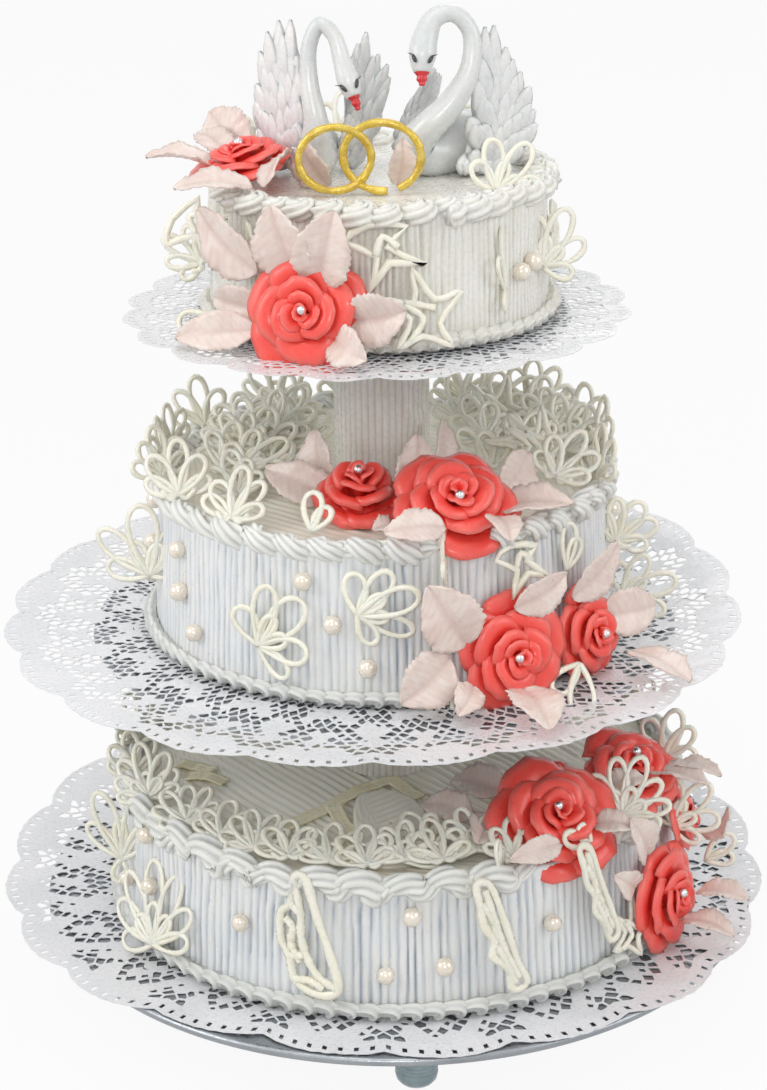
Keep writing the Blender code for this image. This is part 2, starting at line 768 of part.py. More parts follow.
def main():
    clear_scene()
    fixed = []
    fixed.append(make_plate("plate_base", PLATE_BASE_R, PLATE_BASE_TOP, PLATE_BASE_AT))
    for number, azimuth in enumerate(FOOT_AZ, 1):
        fixed.append(make_foot("foot_%d" % number, azimuth))
    doily_z = PLATE_BASE_TOP + GAP
    fixed.append(make_doily("doily_base", "b", PLATE_BASE_R, DOILY_BASE_R, doily_z, DOILY_BASE_AT, 1))
    fixed.append(make_cake("cake_bottom", BOTTOM_R0, BOTTOM_R1, BOTTOM_H, BASE_CAKE_Z, 0.0, 22))
    fixed.append(make_column("column_lower", BOTTOM_TOP_Z + GAP, PLATE_MID_TOP - PLATE_T - GAP, UPPER_X))
    fixed.append(make_plate("plate_middle", PLATE_MID_R, PLATE_MID_TOP, (UPPER_X, 0.0)))
    doily_z = PLATE_MID_TOP + GAP
    fixed.append(make_doily("doily_middle", "m", PLATE_MID_R, DOILY_MID_R, doily_z, DOILY_MID_AT, 1))
    fixed.append(make_cake("cake_middle", MIDDLE_R0, MIDDLE_R1, MIDDLE_H, MID_CAKE_Z, UPPER_X, 18))
    fixed.append(make_column("column_upper", MIDDLE_TOP_Z + GAP, PLATE_TOP_TOP - PLATE_T - GAP, UPPER_X))
    fixed.append(make_plate("plate_top", PLATE_TOP_R, PLATE_TOP_TOP, (UPPER_X, 0.0)))
    doily_z = PLATE_TOP_TOP + GAP
    fixed.append(make_doily("doily_top", "t", PLATE_TOP_R, DOILY_TOP_R, doily_z, DOILY_TOP_AT, 1))
    fixed.append(make_cake("cake_top", TOP_R0, TOP_R1, TOP_H, TOP_CAKE_Z, UPPER_X, 16))

    placed = list(fixed)

    def settle(obj):
        trim(obj, placed)
        placed.append(obj)

    settle(make_panel("cream_panel"))
    for name, spec in RIBBONS.items():
        settle(make_ribbon(name, spec))
    settle(make_bird("bird_left", BIRD_LEFT))
    settle(make_bird("bird_right", BIRD_RIGHT))
    for name, spec in WINGS.items():
        settle(make_wing(name, spec))
    rings = add_object("rings", ring_mesh(*RING_LEFT, 0.10), "gold")
    boolean(rings, ring_mesh(*RING_RIGHT, -0.12), "UNION")
    settle(rings)
    for name, spec in ROSES.items():
        settle(make_rose(name, spec))
    for name, spec in LEAVES.items():
        settle(make_leaf(name, spec))
    recentre = Matrix.Translation((RECENTRE[0], RECENTRE[1], 0.0))
    for obj in placed:
        obj.data.transform(recentre)
        if not obj.data.materials:
            obj.data.materials.append(material("cream"))


main()
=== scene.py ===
"""Looks for the three-tier wedding cake: iced and piped tiers, paper lace, sugar flowers, birds, rings, studio."""

import math

import bpy
import numpy as np
from mathutils import Matrix, Vector


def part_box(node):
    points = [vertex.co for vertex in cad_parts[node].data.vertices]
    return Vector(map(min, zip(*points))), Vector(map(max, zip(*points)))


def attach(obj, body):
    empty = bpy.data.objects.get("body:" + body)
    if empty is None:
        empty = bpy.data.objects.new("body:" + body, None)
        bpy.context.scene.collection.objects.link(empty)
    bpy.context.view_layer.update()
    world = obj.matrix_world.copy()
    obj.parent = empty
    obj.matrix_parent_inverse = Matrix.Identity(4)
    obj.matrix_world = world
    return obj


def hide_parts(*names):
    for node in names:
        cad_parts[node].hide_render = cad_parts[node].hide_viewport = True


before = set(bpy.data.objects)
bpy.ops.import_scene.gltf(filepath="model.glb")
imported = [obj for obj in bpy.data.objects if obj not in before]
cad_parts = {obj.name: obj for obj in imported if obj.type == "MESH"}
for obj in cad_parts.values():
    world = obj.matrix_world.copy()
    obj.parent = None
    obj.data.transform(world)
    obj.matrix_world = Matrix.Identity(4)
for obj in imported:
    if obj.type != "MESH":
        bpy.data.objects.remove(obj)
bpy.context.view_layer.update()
TAU = 2 * math.pi
UPPER_X = -0.007
MM = 0.001
# Everything is placed about the axis of the lowest cake, and moved by this much at the end
SHIFT = np.array((0.010, -0.02095, 0.0))

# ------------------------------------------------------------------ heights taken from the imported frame
BOX = {name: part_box(name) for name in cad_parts}


def top_of(node):
    return BOX[node][1].z


def foot_of(node):
    return BOX[node][0].z


BORDER_H = 0.008
TIERS = {
    "b": dict(x=0.0, r0=0.1690, r1=0.1635, z0=foot_of("cake_bottom"), z1=top_of("cake_bottom") - BORDER_H),
    "m": dict(x=UPPER_X, r0=0.1350, r1=0.1300, z0=foot_of("cake_middle"), z1=top_of("cake_middle") - BORDER_H),
    "t": dict(x=UPPER_X, r0=0.0955, r1=0.0945, z0=foot_of("cake_top"), z1=top_of("cake_top") - BORDER_H),
}


# ------------------------------------------------------------------ small tools
def waves(x, seed, freqs=(1.0, 2.3, 4.1), y=None):
    """A smooth wandering value about 0 in -1..1, the same for the same seed."""
    rng = np.random.RandomState(seed)
    out = 0.0
    total = 0.0
    for i, f in enumerate(freqs):
        a = 1.0 / (1 + 0.7 * i)
        phase = rng.uniform(0, TAU)
        arg = f * x + phase
        if y is not None:
            arg = arg + rng.uniform(-1.2, 1.2) * f * y
        out = out + a * np.sin(arg)
        total += a
    return out / total


def at(tier, azimuth, distance_mm, height_mm):
    a = math.radians(azimuth)
    d = distance_mm * MM
    return Vector((TIERS[tier]["x"] + d * math.cos(a), d * math.sin(a), height_mm * MM))


def smooth01(t):
    t = np.clip(t, 0.0, 1.0)
    return t * t * (3 - 2 * t)


def grid_faces(rows, cols, wrap_cols=False, wrap_rows=False):
    r = np.arange(rows if wrap_rows else rows - 1)
    c = np.arange(cols if wrap_cols else cols - 1)
    rr, cc = np.meshgrid(r, c, indexing="ij")
    r2 = (rr + 1) % rows
    c2 = (cc + 1) % cols
    f = np.stack([rr * cols + cc, rr * cols + c2, r2 * cols + c2, r2 * cols + cc], -1)
    return f.reshape(-1, 4)


class Soup:
    """Collects vertices, quads and triangles, with one number per vertex, and makes one mesh of them."""

    def __init__(self):
        self.v = []
        self.q = []
        self.t = []
        self.a = []
        self.n = 0

    def add(self, verts, quads=None, tris=None, tint=0.0):
        verts = np.asarray(verts, float).reshape(-1, 3)
        if quads is not None and len(quads):
            self.q.append(np.asarray(quads, int) + self.n)
        if tris is not None and len(tris):
            self.t.append(np.asarray(tris, int) + self.n)
        self.v.append(verts)
        self.a.append(np.broadcast_to(np.asarray(tint, float), (len(verts),)).copy())
        self.n += len(verts)

    def build(self, name, material, slot, replaces=(), shade=True):
        verts = np.concatenate(self.v) + SHIFT
        quads = np.concatenate(self.q) if self.q else np.zeros((0, 4), int)
        tris = np.concatenate(self.t) if self.t else np.zeros((0, 3), int)
        mesh = bpy.data.meshes.new(name)
        mesh.vertices.add(len(verts))
        mesh.vertices.foreach_set("co", verts.astype(np.float32).ravel())
        loops = np.concatenate([quads.ravel(), tris.ravel()])
        mesh.loops.add(len(loops))
        mesh.loops.foreach_set("vertex_index", loops.astype(np.int32))
        sizes = np.concatenate([np.full(len(quads), 4), np.full(len(tris), 3)])
        starts = np.concatenate([[0], np.cumsum(sizes)[:-1]])
        mesh.polygons.add(len(sizes))
        mesh.polygons.foreach_set("loop_start", starts.astype(np.int32))
        mesh.polygons.foreach_set("loop_total", sizes.astype(np.int32))
        mesh.update(calc_edges=True)
        mesh.validate()
        layer = mesh.attributes.new("tint", "FLOAT", "POINT")
        layer.data.foreach_set("value", np.concatenate(self.a).astype(np.float32))
        mesh.polygons.foreach_set("use_smooth", np.full(len(mesh.polygons), shade, dtype=bool))
        mesh.materials.append(material)
        obj = bpy.data.objects.new(name, mesh)
        bpy.context.scene.collection.objects.link(obj)
        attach(obj, "root")
        if replaces:
            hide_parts(*replaces)
        return obj


def frames_along(path, closed=False, hint=(0, 0, 1)):
    """Tangent, side and up vectors that don't twist, for each point of a path."""
    p = np.asarray(path, float)
    if closed:
        t = np.roll(p, -1, 0) - np.roll(p, 1, 0)
    else:
        t = np.gradient(p, axis=0)
    t /= np.maximum(np.linalg.norm(t, axis=1, keepdims=True), 1e-12)
    up = np.array(hint, float)
    sides = np.zeros_like(p)
    ups = np.zeros_like(p)
    s = np.cross(t[0], up)
    if np.linalg.norm(s) < 0.1:
        s = np.cross(t[0], (1.0, 0.0, 0.0))
    for i in range(len(p)):
        s = s - t[i] * s.dot(t[i])
        n = np.linalg.norm(s)
        s = s / n if n > 1e-9 else np.array((1.0, 0, 0))
        sides[i] = s
        ups[i] = np.cross(s, t[i])
    return t, sides, ups


def sweep(path, radius, sides=8, ridges=0, depth=0.0, twist=0.0, closed=False, hint=(0, 0, 1), flat=1.0, fixed=False):
    """A tube of changing radius. ridges and depth give the star-shaped section of a piping nozzle."""
    p = np.asarray(path, float)
    n = len(p)
    rad = np.broadcast_to(np.asarray(radius, float), (n,))
    t, s, u = frames_along(p, closed, hint)
    if fixed:
        h = np.array(hint, float)
        s = np.cross(t, h)
        s /= np.maximum(np.linalg.norm(s, axis=1, keepdims=True), 1e-9)
        u = np.cross(s, t)
    a = np.linspace(0, TAU, sides, endpoint=False)
    spin = np.linspace(0, 1, n)[:, None] * twist
    ang = a[None, :] + spin
    wave = 1.0 + depth * np.cos(ridges * a)[None, :] if ridges else 1.0
    rr = rad[:, None] * wave
    across, upwards = (rr * np.cos(ang))[..., None], (flat * rr * np.sin(ang))[..., None]
    verts = p[:, None, :] + s[:, None, :] * across + u[:, None, :] * upwards
    quads = grid_faces(n, sides, wrap_cols=True, wrap_rows=closed)
    verts = verts.reshape(-1, 3)
    tris = None
    if not closed:
        verts = np.concatenate([verts, p[:1], p[-1:]])
        k = np.arange(sides)
        k2 = (k + 1) % sides
        a0 = np.stack([np.full(sides, n * sides), k2, k], -1)
        o = (n - 1) * sides
        a1 = np.stack([np.full(sides, n * sides + 1), o + k, o + k2], -1)
        tris = np.concatenate([a0, a1])
    return verts, quads, tris


def painted_groove_shade(count, sides, ridges, strength=0.8):
    """Painted shade for the grooves of a star-shaped sweep, one number per vertex: where it is 1 the material's darker
    tint colour stands in for the shade in the hollows.
    """
    a = np.linspace(0, TAU, sides, endpoint=False)
    row = np.clip(0.15 - np.cos(ridges * a), 0, 1) * strength
    return np.concatenate([np.tile(row, count), np.zeros(2)])


def spline(points, per_span, closed=False):
    p = np.asarray(points, float)
    n = len(p)
    out = []
    t = np.linspace(0, 1, per_span, endpoint=False)[:, None]
    for i in range(n if closed else n - 1):
        if closed:
            a, b, c, d = p[(i - 1) % n], p[i], p[(i + 1) % n], p[(i + 2) % n]
        else:
            a, b, c, d = p[max(i - 1, 0)], p[i], p[i + 1], p[min(i + 2, n - 1)]
        squared, cubed = 2 * a - 5 * b + 4 * c - d, 3 * b - a - 3 * c + d
        out.append(0.5 * (2 * b + (c - a) * t + squared * t ** 2 + cubed * t ** 3))
    out = np.concatenate(out)
    return out if closed else np.concatenate([out, p[-1:]])


def lathe(profile, segments, cx=0.0, cy=0.0):
    pr = np.asarray(profile, float)
    a = np.linspace(0, TAU, segments, endpoint=False)
    v = np.stack([
        cx + pr[:, 0][:, None] * np.cos(a)[None],
        cy + pr[:, 0][:, None] * np.sin(a)[None],
        np.broadcast_to(pr[:, 1][:, None], (len(pr), segments)),
    ], -1)
    return v.reshape(-1, 3), grid_faces(len(pr), segments, wrap_cols=True)


def sheet(front, thickness):
    """Closes a grid of points (rows, cols, 3) into a thin body of the given thickness."""
    rows, cols = front.shape[:2]
    du = np.gradient(front, axis=1)
    dv = np.gradient(front, axis=0)
    nrm = np.cross(du, dv)
    nrm /= np.maximum(np.linalg.norm(nrm, axis=2, keepdims=True), 1e-12)
    th = thickness if np.ndim(thickness) == 0 else np.asarray(thickness)[..., None]
    back = front - nrm * th
    v = np.concatenate([front.reshape(-1, 3), back.reshape(-1, 3)])
    n = rows * cols
    f = grid_faces(rows, cols)
    b = f[:, ::-1] + n
    c = np.arange(cols - 1)
    r = np.arange(rows - 1)
    last = (rows - 1) * cols
    end = r * cols + cols - 1
    e = [
        np.stack([c + 1, c, c + n, c + 1 + n], -1),
        np.stack([last + c, last + c + 1, last + c + 1 + n, last + c + n], -1),
        np.stack([r * cols, (r + 1) * cols, (r + 1) * cols + n, r * cols + n], -1),
        np.stack([end + cols, end, end + n, end + cols + n], -1),
    ]
    return v, np.concatenate([f, b] + e)


def facing(az, el):
    a, e = math.radians(az), math.radians(el)
    return Vector((math.cos(a) * math.cos(e), math.sin(a) * math.cos(e), math.sin(e)))


def turn_to(direction, spin=0.0):
    """Local +Z to the direction, local +Y as near up as it can be, then spun about local Z (degrees)."""
    z = direction.normalized()
    x = Vector((0, 0, 1)).cross(z)
    if x.length < 1e-3:
        x = Vector((0, 1, 0)).cross(z)
    x.normalize()
    y = z.cross(x)
    return np.array(Matrix((x, y, z)).transposed() @ Matrix.Rotation(math.radians(spin), 3, "Z"))


# ------------------------------------------------------------------ materials
FINE_GRAIN, SPARKLE_CELLS, ROUGH_SPAN = 400.0, 1400.0, 0.12


def add_node(tree, kind, values=()):
    node = tree.nodes.new("ShaderNode" + kind)
    for socket, value in dict(values).items():
        node.inputs[socket].default_value = value
    return node


def material(name, base, second, rough, bump=0.2, bump_scale=1200.0, bump_mm=0.25, metallic=0.0, subsurface=0.0,
             coat=0.0, tint=None, tint_power=1.0, coarse=40.0, radius=(1.0, 0.6, 0.4), sparkle=0.0):
    """Two close shades in soft blotches, fine uneven gloss and bump. tint is the colour where a mesh's tint is 1."""
    mat = bpy.data.materials.new(name)
    mat.use_nodes = True
    nt = mat.node_tree
    bsdf = nt.nodes["Principled BSDF"]
    link = nt.links.new
    coord = add_node(nt, "TexCoord")

    def noise(sc, detail, distortion=0.0):
        node = add_node(nt, "TexNoise", {"Scale": sc, "Detail": detail, "Distortion": distortion})
        link(coord.outputs["Object"], node.inputs["Vector"])
        return node

    def mix(factor, one, two):
        node = add_node(nt, "Mix")
        node.data_type = "RGBA"
        for socket, value in (("Factor", factor), ("A", one), ("B", two)):
            wanted = "VALUE" if socket == "Factor" else "RGBA"
            target = next(i for i in node.inputs if i.name == socket and i.type == wanted)
            if hasattr(value, "links"):
                link(value, target)
            else:
                target.default_value = (*value, 1.0)
        return [o for o in node.outputs if o.type == "RGBA"][0]

    def ranged(value, lo, hi, out_lo, out_hi):
        node = add_node(nt, "MapRange", {"From Min": lo, "From Max": hi, "To Min": out_lo, "To Max": out_hi})
        link(value, node.inputs["Value"])
        return node.outputs["Result"]

    big = noise(coarse, 4.0, 0.6)
    fine = noise(FINE_GRAIN, 3.0)
    colour = mix(ranged(big.outputs["Fac"], 0.35, 0.65, 0.0, 1.0), base, second)
    # the tint colour goes where the mesh's tint is 1: painted shade in grooves, veins and feather gaps for the icings,
    # leaf and feathers, the paler petal lip for the rose, a random darker tone for the gold
    if tint is not None:
        attr = add_node(nt, "Attribute")
        attr.attribute_name = "tint"
        power = add_node(nt, "Math", {1: tint_power})
        power.operation = "MULTIPLY"
        power.use_clamp = True
        link(attr.outputs["Fac"], power.inputs[0])
        colour = mix(power.outputs[0], colour, tint)
    link(colour, bsdf.inputs["Base Color"])
    gloss = ranged(fine.outputs["Fac"], 0.3, 0.7, max(0.02, rough - ROUGH_SPAN), rough + ROUGH_SPAN)
    link(gloss, bsdf.inputs["Roughness"])
    bsdf.inputs["Metallic"].default_value = metallic
    bsdf.inputs["Specular IOR Level"].default_value = 0.5
    if subsurface:
        bsdf.inputs["Subsurface Weight"].default_value = subsurface
        bsdf.inputs["Subsurface Radius"].default_value = radius
        bsdf.inputs["Subsurface Scale"].default_value = 0.002
    if coat:
        bsdf.inputs["Coat Weight"].default_value = coat
        bsdf.inputs["Coat Roughness"].default_value = 0.18
    bumps = noise(bump_scale, 4.0)
    height = bumps.outputs["Fac"]
    if sparkle:
        cells = add_node(nt, "TexVoronoi", {"Scale": SPARKLE_CELLS})
        link(coord.outputs["Object"], cells.inputs["Vector"])
        add = add_node(nt, "Math", {1: sparkle})
        add.operation = "MULTIPLY_ADD"
        link(cells.outputs["Distance"], add.inputs[0])
        link(height, add.inputs[2])
        height = add.outputs[0]
    node = add_node(nt, "Bump", {"Strength": bump, "Distance": bump_mm * MM})
    link(height, node.inputs["Height"])
    link(node.outputs["Normal"], bsdf.inputs["Normal"])
    return mat


M = {
    # the side icing and the combed top icing are one cream: the sides are painted darker and bluer and the tops
    # lighter, painted light standing in for the light the plates keep from the tops; the tops' warmer cream is also
    # their own tone
    "cream": material("cream_icing", (0.79, 0.81, 0.82), (0.84, 0.84, 0.82), 0.36, bump=0.35, bump_scale=900,
                      bump_mm=0.3,
                      subsurface=0.15, coat=0.15, tint=(0.40, 0.46, 0.54), sparkle=0.5),
    "cream_top": material("combed_cream", (0.90, 0.86, 0.73), (0.92, 0.90, 0.81), 0.40, bump=0.35, bump_scale=700,
                          subsurface=0.15, coat=0.1, tint=(0.66, 0.62, 0.48), sparkle=0.4),
    "cream_rope": material("piped_icing", (0.85, 0.85, 0.80), (0.90, 0.89, 0.86), 0.36, bump=0.25,
                           tint=(0.50, 0.53, 0.52), sparkle=0.5),
    "cream_pearl": material("pearly_icing", (0.83, 0.82, 0.76), (0.87, 0.86, 0.82), 0.30, bump=0.4, bump_scale=800,
                            subsurface=0.15, coat=0.25, tint=(0.64, 0.62, 0.54), sparkle=0.6),
    "lace": material("white_chocolate", (0.88, 0.85, 0.71), (0.91, 0.89, 0.79), 0.30, bump=0.15, bump_scale=500,
                     subsurface=0.15, coat=0.2, coarse=60),
    "ribbon": material("ribbon_chocolate", (0.84, 0.77, 0.52), (0.87, 0.82, 0.62), 0.34, bump=0.15, bump_scale=500,
                       subsurface=0.15, coarse=60),
    "rose": material("rose_cream", (0.90, 0.055, 0.040), (0.93, 0.085, 0.062), 0.36, bump=0.25, bump_scale=600,
                     subsurface=0.15, coat=0.25, tint=(0.94, 0.30, 0.26), tint_power=1.2,
                     radius=(1.0, 0.25, 0.2), sparkle=0.4),
    "leaf": material("leaf_sugar", (0.76, 0.62, 0.56), (0.83, 0.73, 0.67), 0.36, bump=0.3, bump_scale=900,
                     subsurface=0.15, coat=0.2, tint=(0.62, 0.45, 0.40), sparkle=0.6, coarse=90),
    # the swans' bodies and necks: a darker grey copy of the feathers' white chocolate, the darker value painted shade
    "bird": material("bird_sugar", (0.66, 0.68, 0.68), (0.74, 0.75, 0.74), 0.28, bump=0.08, bump_scale=300,
                     subsurface=0.15, coat=0.3, tint=(0.70, 0.66, 0.60)),
    "feather": material("feather_sugar", (0.84, 0.84, 0.83), (0.87, 0.86, 0.85), 0.30, bump=0.4, bump_scale=700,
                        subsurface=0.15, coat=0.3, tint=(0.42, 0.44, 0.45), sparkle=0.7),
    "gold": material("gold_paint", (0.62, 0.42, 0.03), (0.74, 0.55, 0.10), 0.30, bump=0.5, bump_scale=350, bump_mm=0.5,
                     metallic=0.35, coat=0.4, tint=(0.42, 0.22, 0.02), coarse=120),
    "pearl": material("sugar_pearl", (0.80, 0.72, 0.60), (0.84, 0.77, 0.67), 0.22, bump=0.05, metallic=0.25, coat=0.6,
                      coarse=80),
    "silver": material("silver_ball", (0.62, 0.62, 0.64), (0.70, 0.70, 0.72), 0.20, bump=0.05, metallic=0.9),
    "beak": material("beak_red", (0.62, 0.01, 0.02), (0.70, 0.03, 0.03), 0.28, bump=0.1, coat=0.4),
    "eye": material("eye_black", (0.010, 0.010, 0.012), (0.02, 0.02, 0.022), 0.25, bump=0.05, coat=0.4),
    "paper": material("lace_paper", (0.74, 0.75, 0.77), (0.80, 0.80, 0.82), 0.32, bump=0.25, bump_scale=900,
                      bump_mm=0.15,
                      tint=(0.70, 0.70, 0.75), coat=0.2, coarse=25),
    "steel": material("satin_steel", (0.29, 0.31, 0.33), (0.36, 0.38, 0.40), 0.34, bump=0.12, bump_scale=400,
                      metallic=0.85, coarse=20),
    "chrome": material("screw_steel", (0.17, 0.22, 0.24), (0.26, 0.32, 0.34), 0.20, bump=0.1, bump_scale=500,
                       metallic=0.95, coarse=60),
}


# Roses: tier, azimuth, distance and height of the back, radius, depth, and the azimuth and elevation faced
ROSES = {
    "rose_top_left": ("t", 189, 74, 486, 27.0, 19, 205, 76),
    "rose_top_front": ("t", 248, 99, 431, 30.5, 21, 256, 14),
    "rose_mid_bud": ("m", 260, 74, 310, 23.0, 31, 268, 74),
    "rose_mid_big": ("m", 291, 104, 320, 31.5, 24, 284, 52),
    "rose_mid_side": ("m", 299, 136, 246, 31.0, 20, 296, 12),
    "rose_mid_edge": ("m", 322, 136, 243, 24.5, 19, 320, 12),
    "rose_base_big": ("b", 308, 138, 134, 34.0, 26, 290, 50),
    "rose_base_back": ("b", 338, 143, 135, 28.0, 24, 300, 56),
    "rose_base_side": ("b", 330, 169, 78, 29.5, 21, 328, 8),
    "rose_base_hidden": ("b", 326, 104, 128, 20.0, 20, 290, 70),
    "rose_base_bud": ("b", 345, 167, 105, 18.5, 15, 345, 20),
}


# ------------------------------------------------------------------ iced tiers
def cake_side(name, tier, ribs, depth_mm, seed, rows, replaces):
    """The comb-dragged side: upright ribs of uneven width and depth that lean and wander, and a closed underside."""
    T = TIERS[tier]
    per = 5
    cols = ribs * per
    a = np.linspace(0, TAU, cols, endpoint=False)
    z = np.linspace(0, 1, rows)
    A, Z = np.meshgrid(a, z)
    rng = np.random.RandomState(seed)
    deep = rng.uniform(0.55, 1.25, ribs)
    lean = waves(A * 5, seed + 1, y=Z * 1.2) * 1.6 + waves(A * 23, seed + 2, y=Z * 3) * 0.9
    lean = lean + waves(A * 61, seed + 9, y=Z * 2.5) * 1.1 + waves(A * 11, seed + 10, y=Z * 9) * 0.35
    phase = A * ribs + lean * (0.4 + Z)
    index = np.floor(phase / TAU).astype(int) % ribs
    profile = np.abs(np.sin(phase / 2)) ** 0.62
    d = depth_mm * MM * deep[index] * (0.85 + 0.3 * waves(A * 9, seed + 4, y=Z * 9))
    fade = smooth01(Z * 9) * smooth01((1 - Z) * 9)
    r = T["r0"] + (T["r1"] - T["r0"]) * Z - 0.0012
    r = r + d * (profile - 0.75) * (0.25 + 0.75 * fade)
    r = r + 0.0009 * waves(A * 3, seed + 5, y=Z * 4) + 0.00018 * waves(A * 130, seed + 6, y=Z * 50)
    zz = T["z0"] + 0.0006 + (T["z1"] - T["z0"] + 0.001) * Z
    V = np.stack([T["x"] + r * np.cos(A), r * np.sin(A), zz], -1)
    # painted shade: the icing's darker bluish tint laid into the comb grooves, deepest where the ribs are deep
    shade_in_grooves = np.clip(1.15 - profile * 1.35, 0, 1) * fade * (d / (depth_mm * MM))
    soup = Soup()
    low = V[0].copy()
    centre = np.array([[T["x"], 0, T["z0"] + 0.0006]])
    high = V[-1].copy()
    high[:, 0] = T["x"] + (high[:, 0] - T["x"]) * 0.88
    high[:, 1] *= 0.88
    high[:, 2] = T["z1"] - 0.002
    body = np.concatenate([V.reshape(-1, 3), high])
    tint = np.concatenate([shade_in_grooves.reshape(-1), np.zeros(cols)])
    soup.add(body, grid_faces(rows + 1, cols, wrap_cols=True), tint=tint)
    k = np.arange(cols)
    soup.add(np.concatenate([low, centre]), tris=np.stack([np.full(cols, cols), (k + 1) % cols, k], -1))
    return soup.build(name, M["cream"] if tier != "t" else M["cream_pearl"], "icing", replaces)


def cake_top(name, tier, direction, pitch_mm, depth_mm, seed):
    """The combed top: shallow parallel grooves dragged across it, wandering a little."""
    T = TIERS[tier]
    R = T["r1"] - 0.004
    fine = pitch_mm * MM / 5
    n = int(2 * R / fine) + 2
    m = int(2 * R / 0.0060) + 2
    u = np.linspace(-R, R, n)
    v = np.linspace(-R, R, m)
    U, W = np.meshgrid(u, v)
    # the square is squeezed into the disc row by row, so that the rim stays round
    half = np.sqrt(np.maximum(R * R - W * W, 0)) + 1e-6
    wide = U / R * half
    lean = waves(W * 30, seed, y=U * 12) * 0.9 + waves(W * 90, seed + 3, y=U * 60) * 0.3
    phase = wide / (pitch_mm * MM) * TAU + lean
    profile = np.abs(np.sin(phase / 2)) ** 0.8
    idx = np.floor(phase / TAU).astype(int) % 97
    deep = np.random.RandomState(seed + 7).uniform(0.5, 1.2, 97)[idx]
    h = depth_mm * MM * deep * (profile - 0.7)
    h = h + 0.0010 * waves(U * 40, seed + 8, y=W * 40)
    c, s = math.cos(math.radians(direction)), math.sin(math.radians(direction))
    X = wide * c - W * s
    Y = wide * s + W * c
    V = np.stack([T["x"] + X, Y, T["z1"] + 0.0005 + h], -1)
    soup = Soup()
    # painted shade in the comb grooves of the top, weaker on the top tier
    shade_in_grooves = np.clip(1 - profile * 1.6, 0, 1).reshape(-1) * (0.25 if tier == "t" else 0.8)
    soup.add(V.reshape(-1, 3), grid_faces(m, n), tint=shade_in_grooves)
    return soup.build(name, M["cream_top"] if tier != "t" else M["cream_pearl"], "icing")


def rope_foot(name, tier, pitch_mm, radius_mm, amp_mm, seed, kind="zigzag"):
    """The piped line round a tier's foot: an overlapping zigzag, or a row of small shells."""
    T = TIERS[tier]
    R = T["r0"] + 0.0012
    count = int(TAU * R / (pitch_mm * MM))
    soup = Soup()
    rng = np.random.RandomState(seed)
    if kind == "zigzag":
        per = 12
        n = count * per
        s = np.arange(n) / per
        jitter = np.repeat(rng.uniform(0.75, 1.2, count), per)
        ph = s * TAU
        a = (s + 0.34 * np.sin(ph + 0.6)) / count * TAU
        z = T["z0"] + (radius_mm * 0.9 + amp_mm) * MM + amp_mm * MM * np.cos(ph) * jitter
        r = R + 0.0012 * np.sin(ph + 1.0)
        path = np.stack([T["x"] + r * np.cos(a), r * np.sin(a), z], -1)
        rad = radius_mm * MM * (1.0 + 0.22 * np.sin(ph + 0.5)) * (0.9 + 0.15 * jitter)
        # painted shade in the grooves between the nozzle ridges
        soup.add(*sweep(path, rad, sides=10, ridges=5, depth=0.20, closed=True), tint=painted_groove_shade(n, 10, 5)[:-2])
    else:
        for i in range(count):
            a0 = (i + rng.uniform(-0.08, 0.08)) / count * TAU
            t = np.linspace(0, 1, 10)
            a = a0 + t * TAU / count * 1.25
            big = rng.uniform(0.85, 1.15)
            rad = radius_mm * MM * big * (0.35 + 0.9 * np.sin(np.clip(t * 1.25 + 0.12, 0, 1) * math.pi) ** 0.8)
            z = T["z0"] + rad * 0.9 + 0.0006 + 0.0015 * np.sin(t * math.pi)
            r = R + 0.001 * np.sin(t * math.pi)
            path = np.stack([T["x"] + r * np.cos(a), r * np.sin(a), z], -1)
            # painted shade in the grooves between the nozzle ridges
            soup.add(*sweep(path, rad, sides=18, ridges=6, depth=0.22, twist=0.9), tint=painted_groove_shade(len(path), 18, 6))
    return soup.build(name, M["cream_pearl"] if tier == "t" else M["cream_rope"], "icing")


def under_a_rose(tier, azimuth, distance, height, share=1.02):
    """Whether a point of a tier's edge is covered by one of its roses."""
    here = at(tier, azimuth, distance, height)
    for spec in ROSES.values():
        if spec[0] == tier and (here - at(tier, *spec[1:4])).length < spec[4] * MM * share:
            return True
    return False


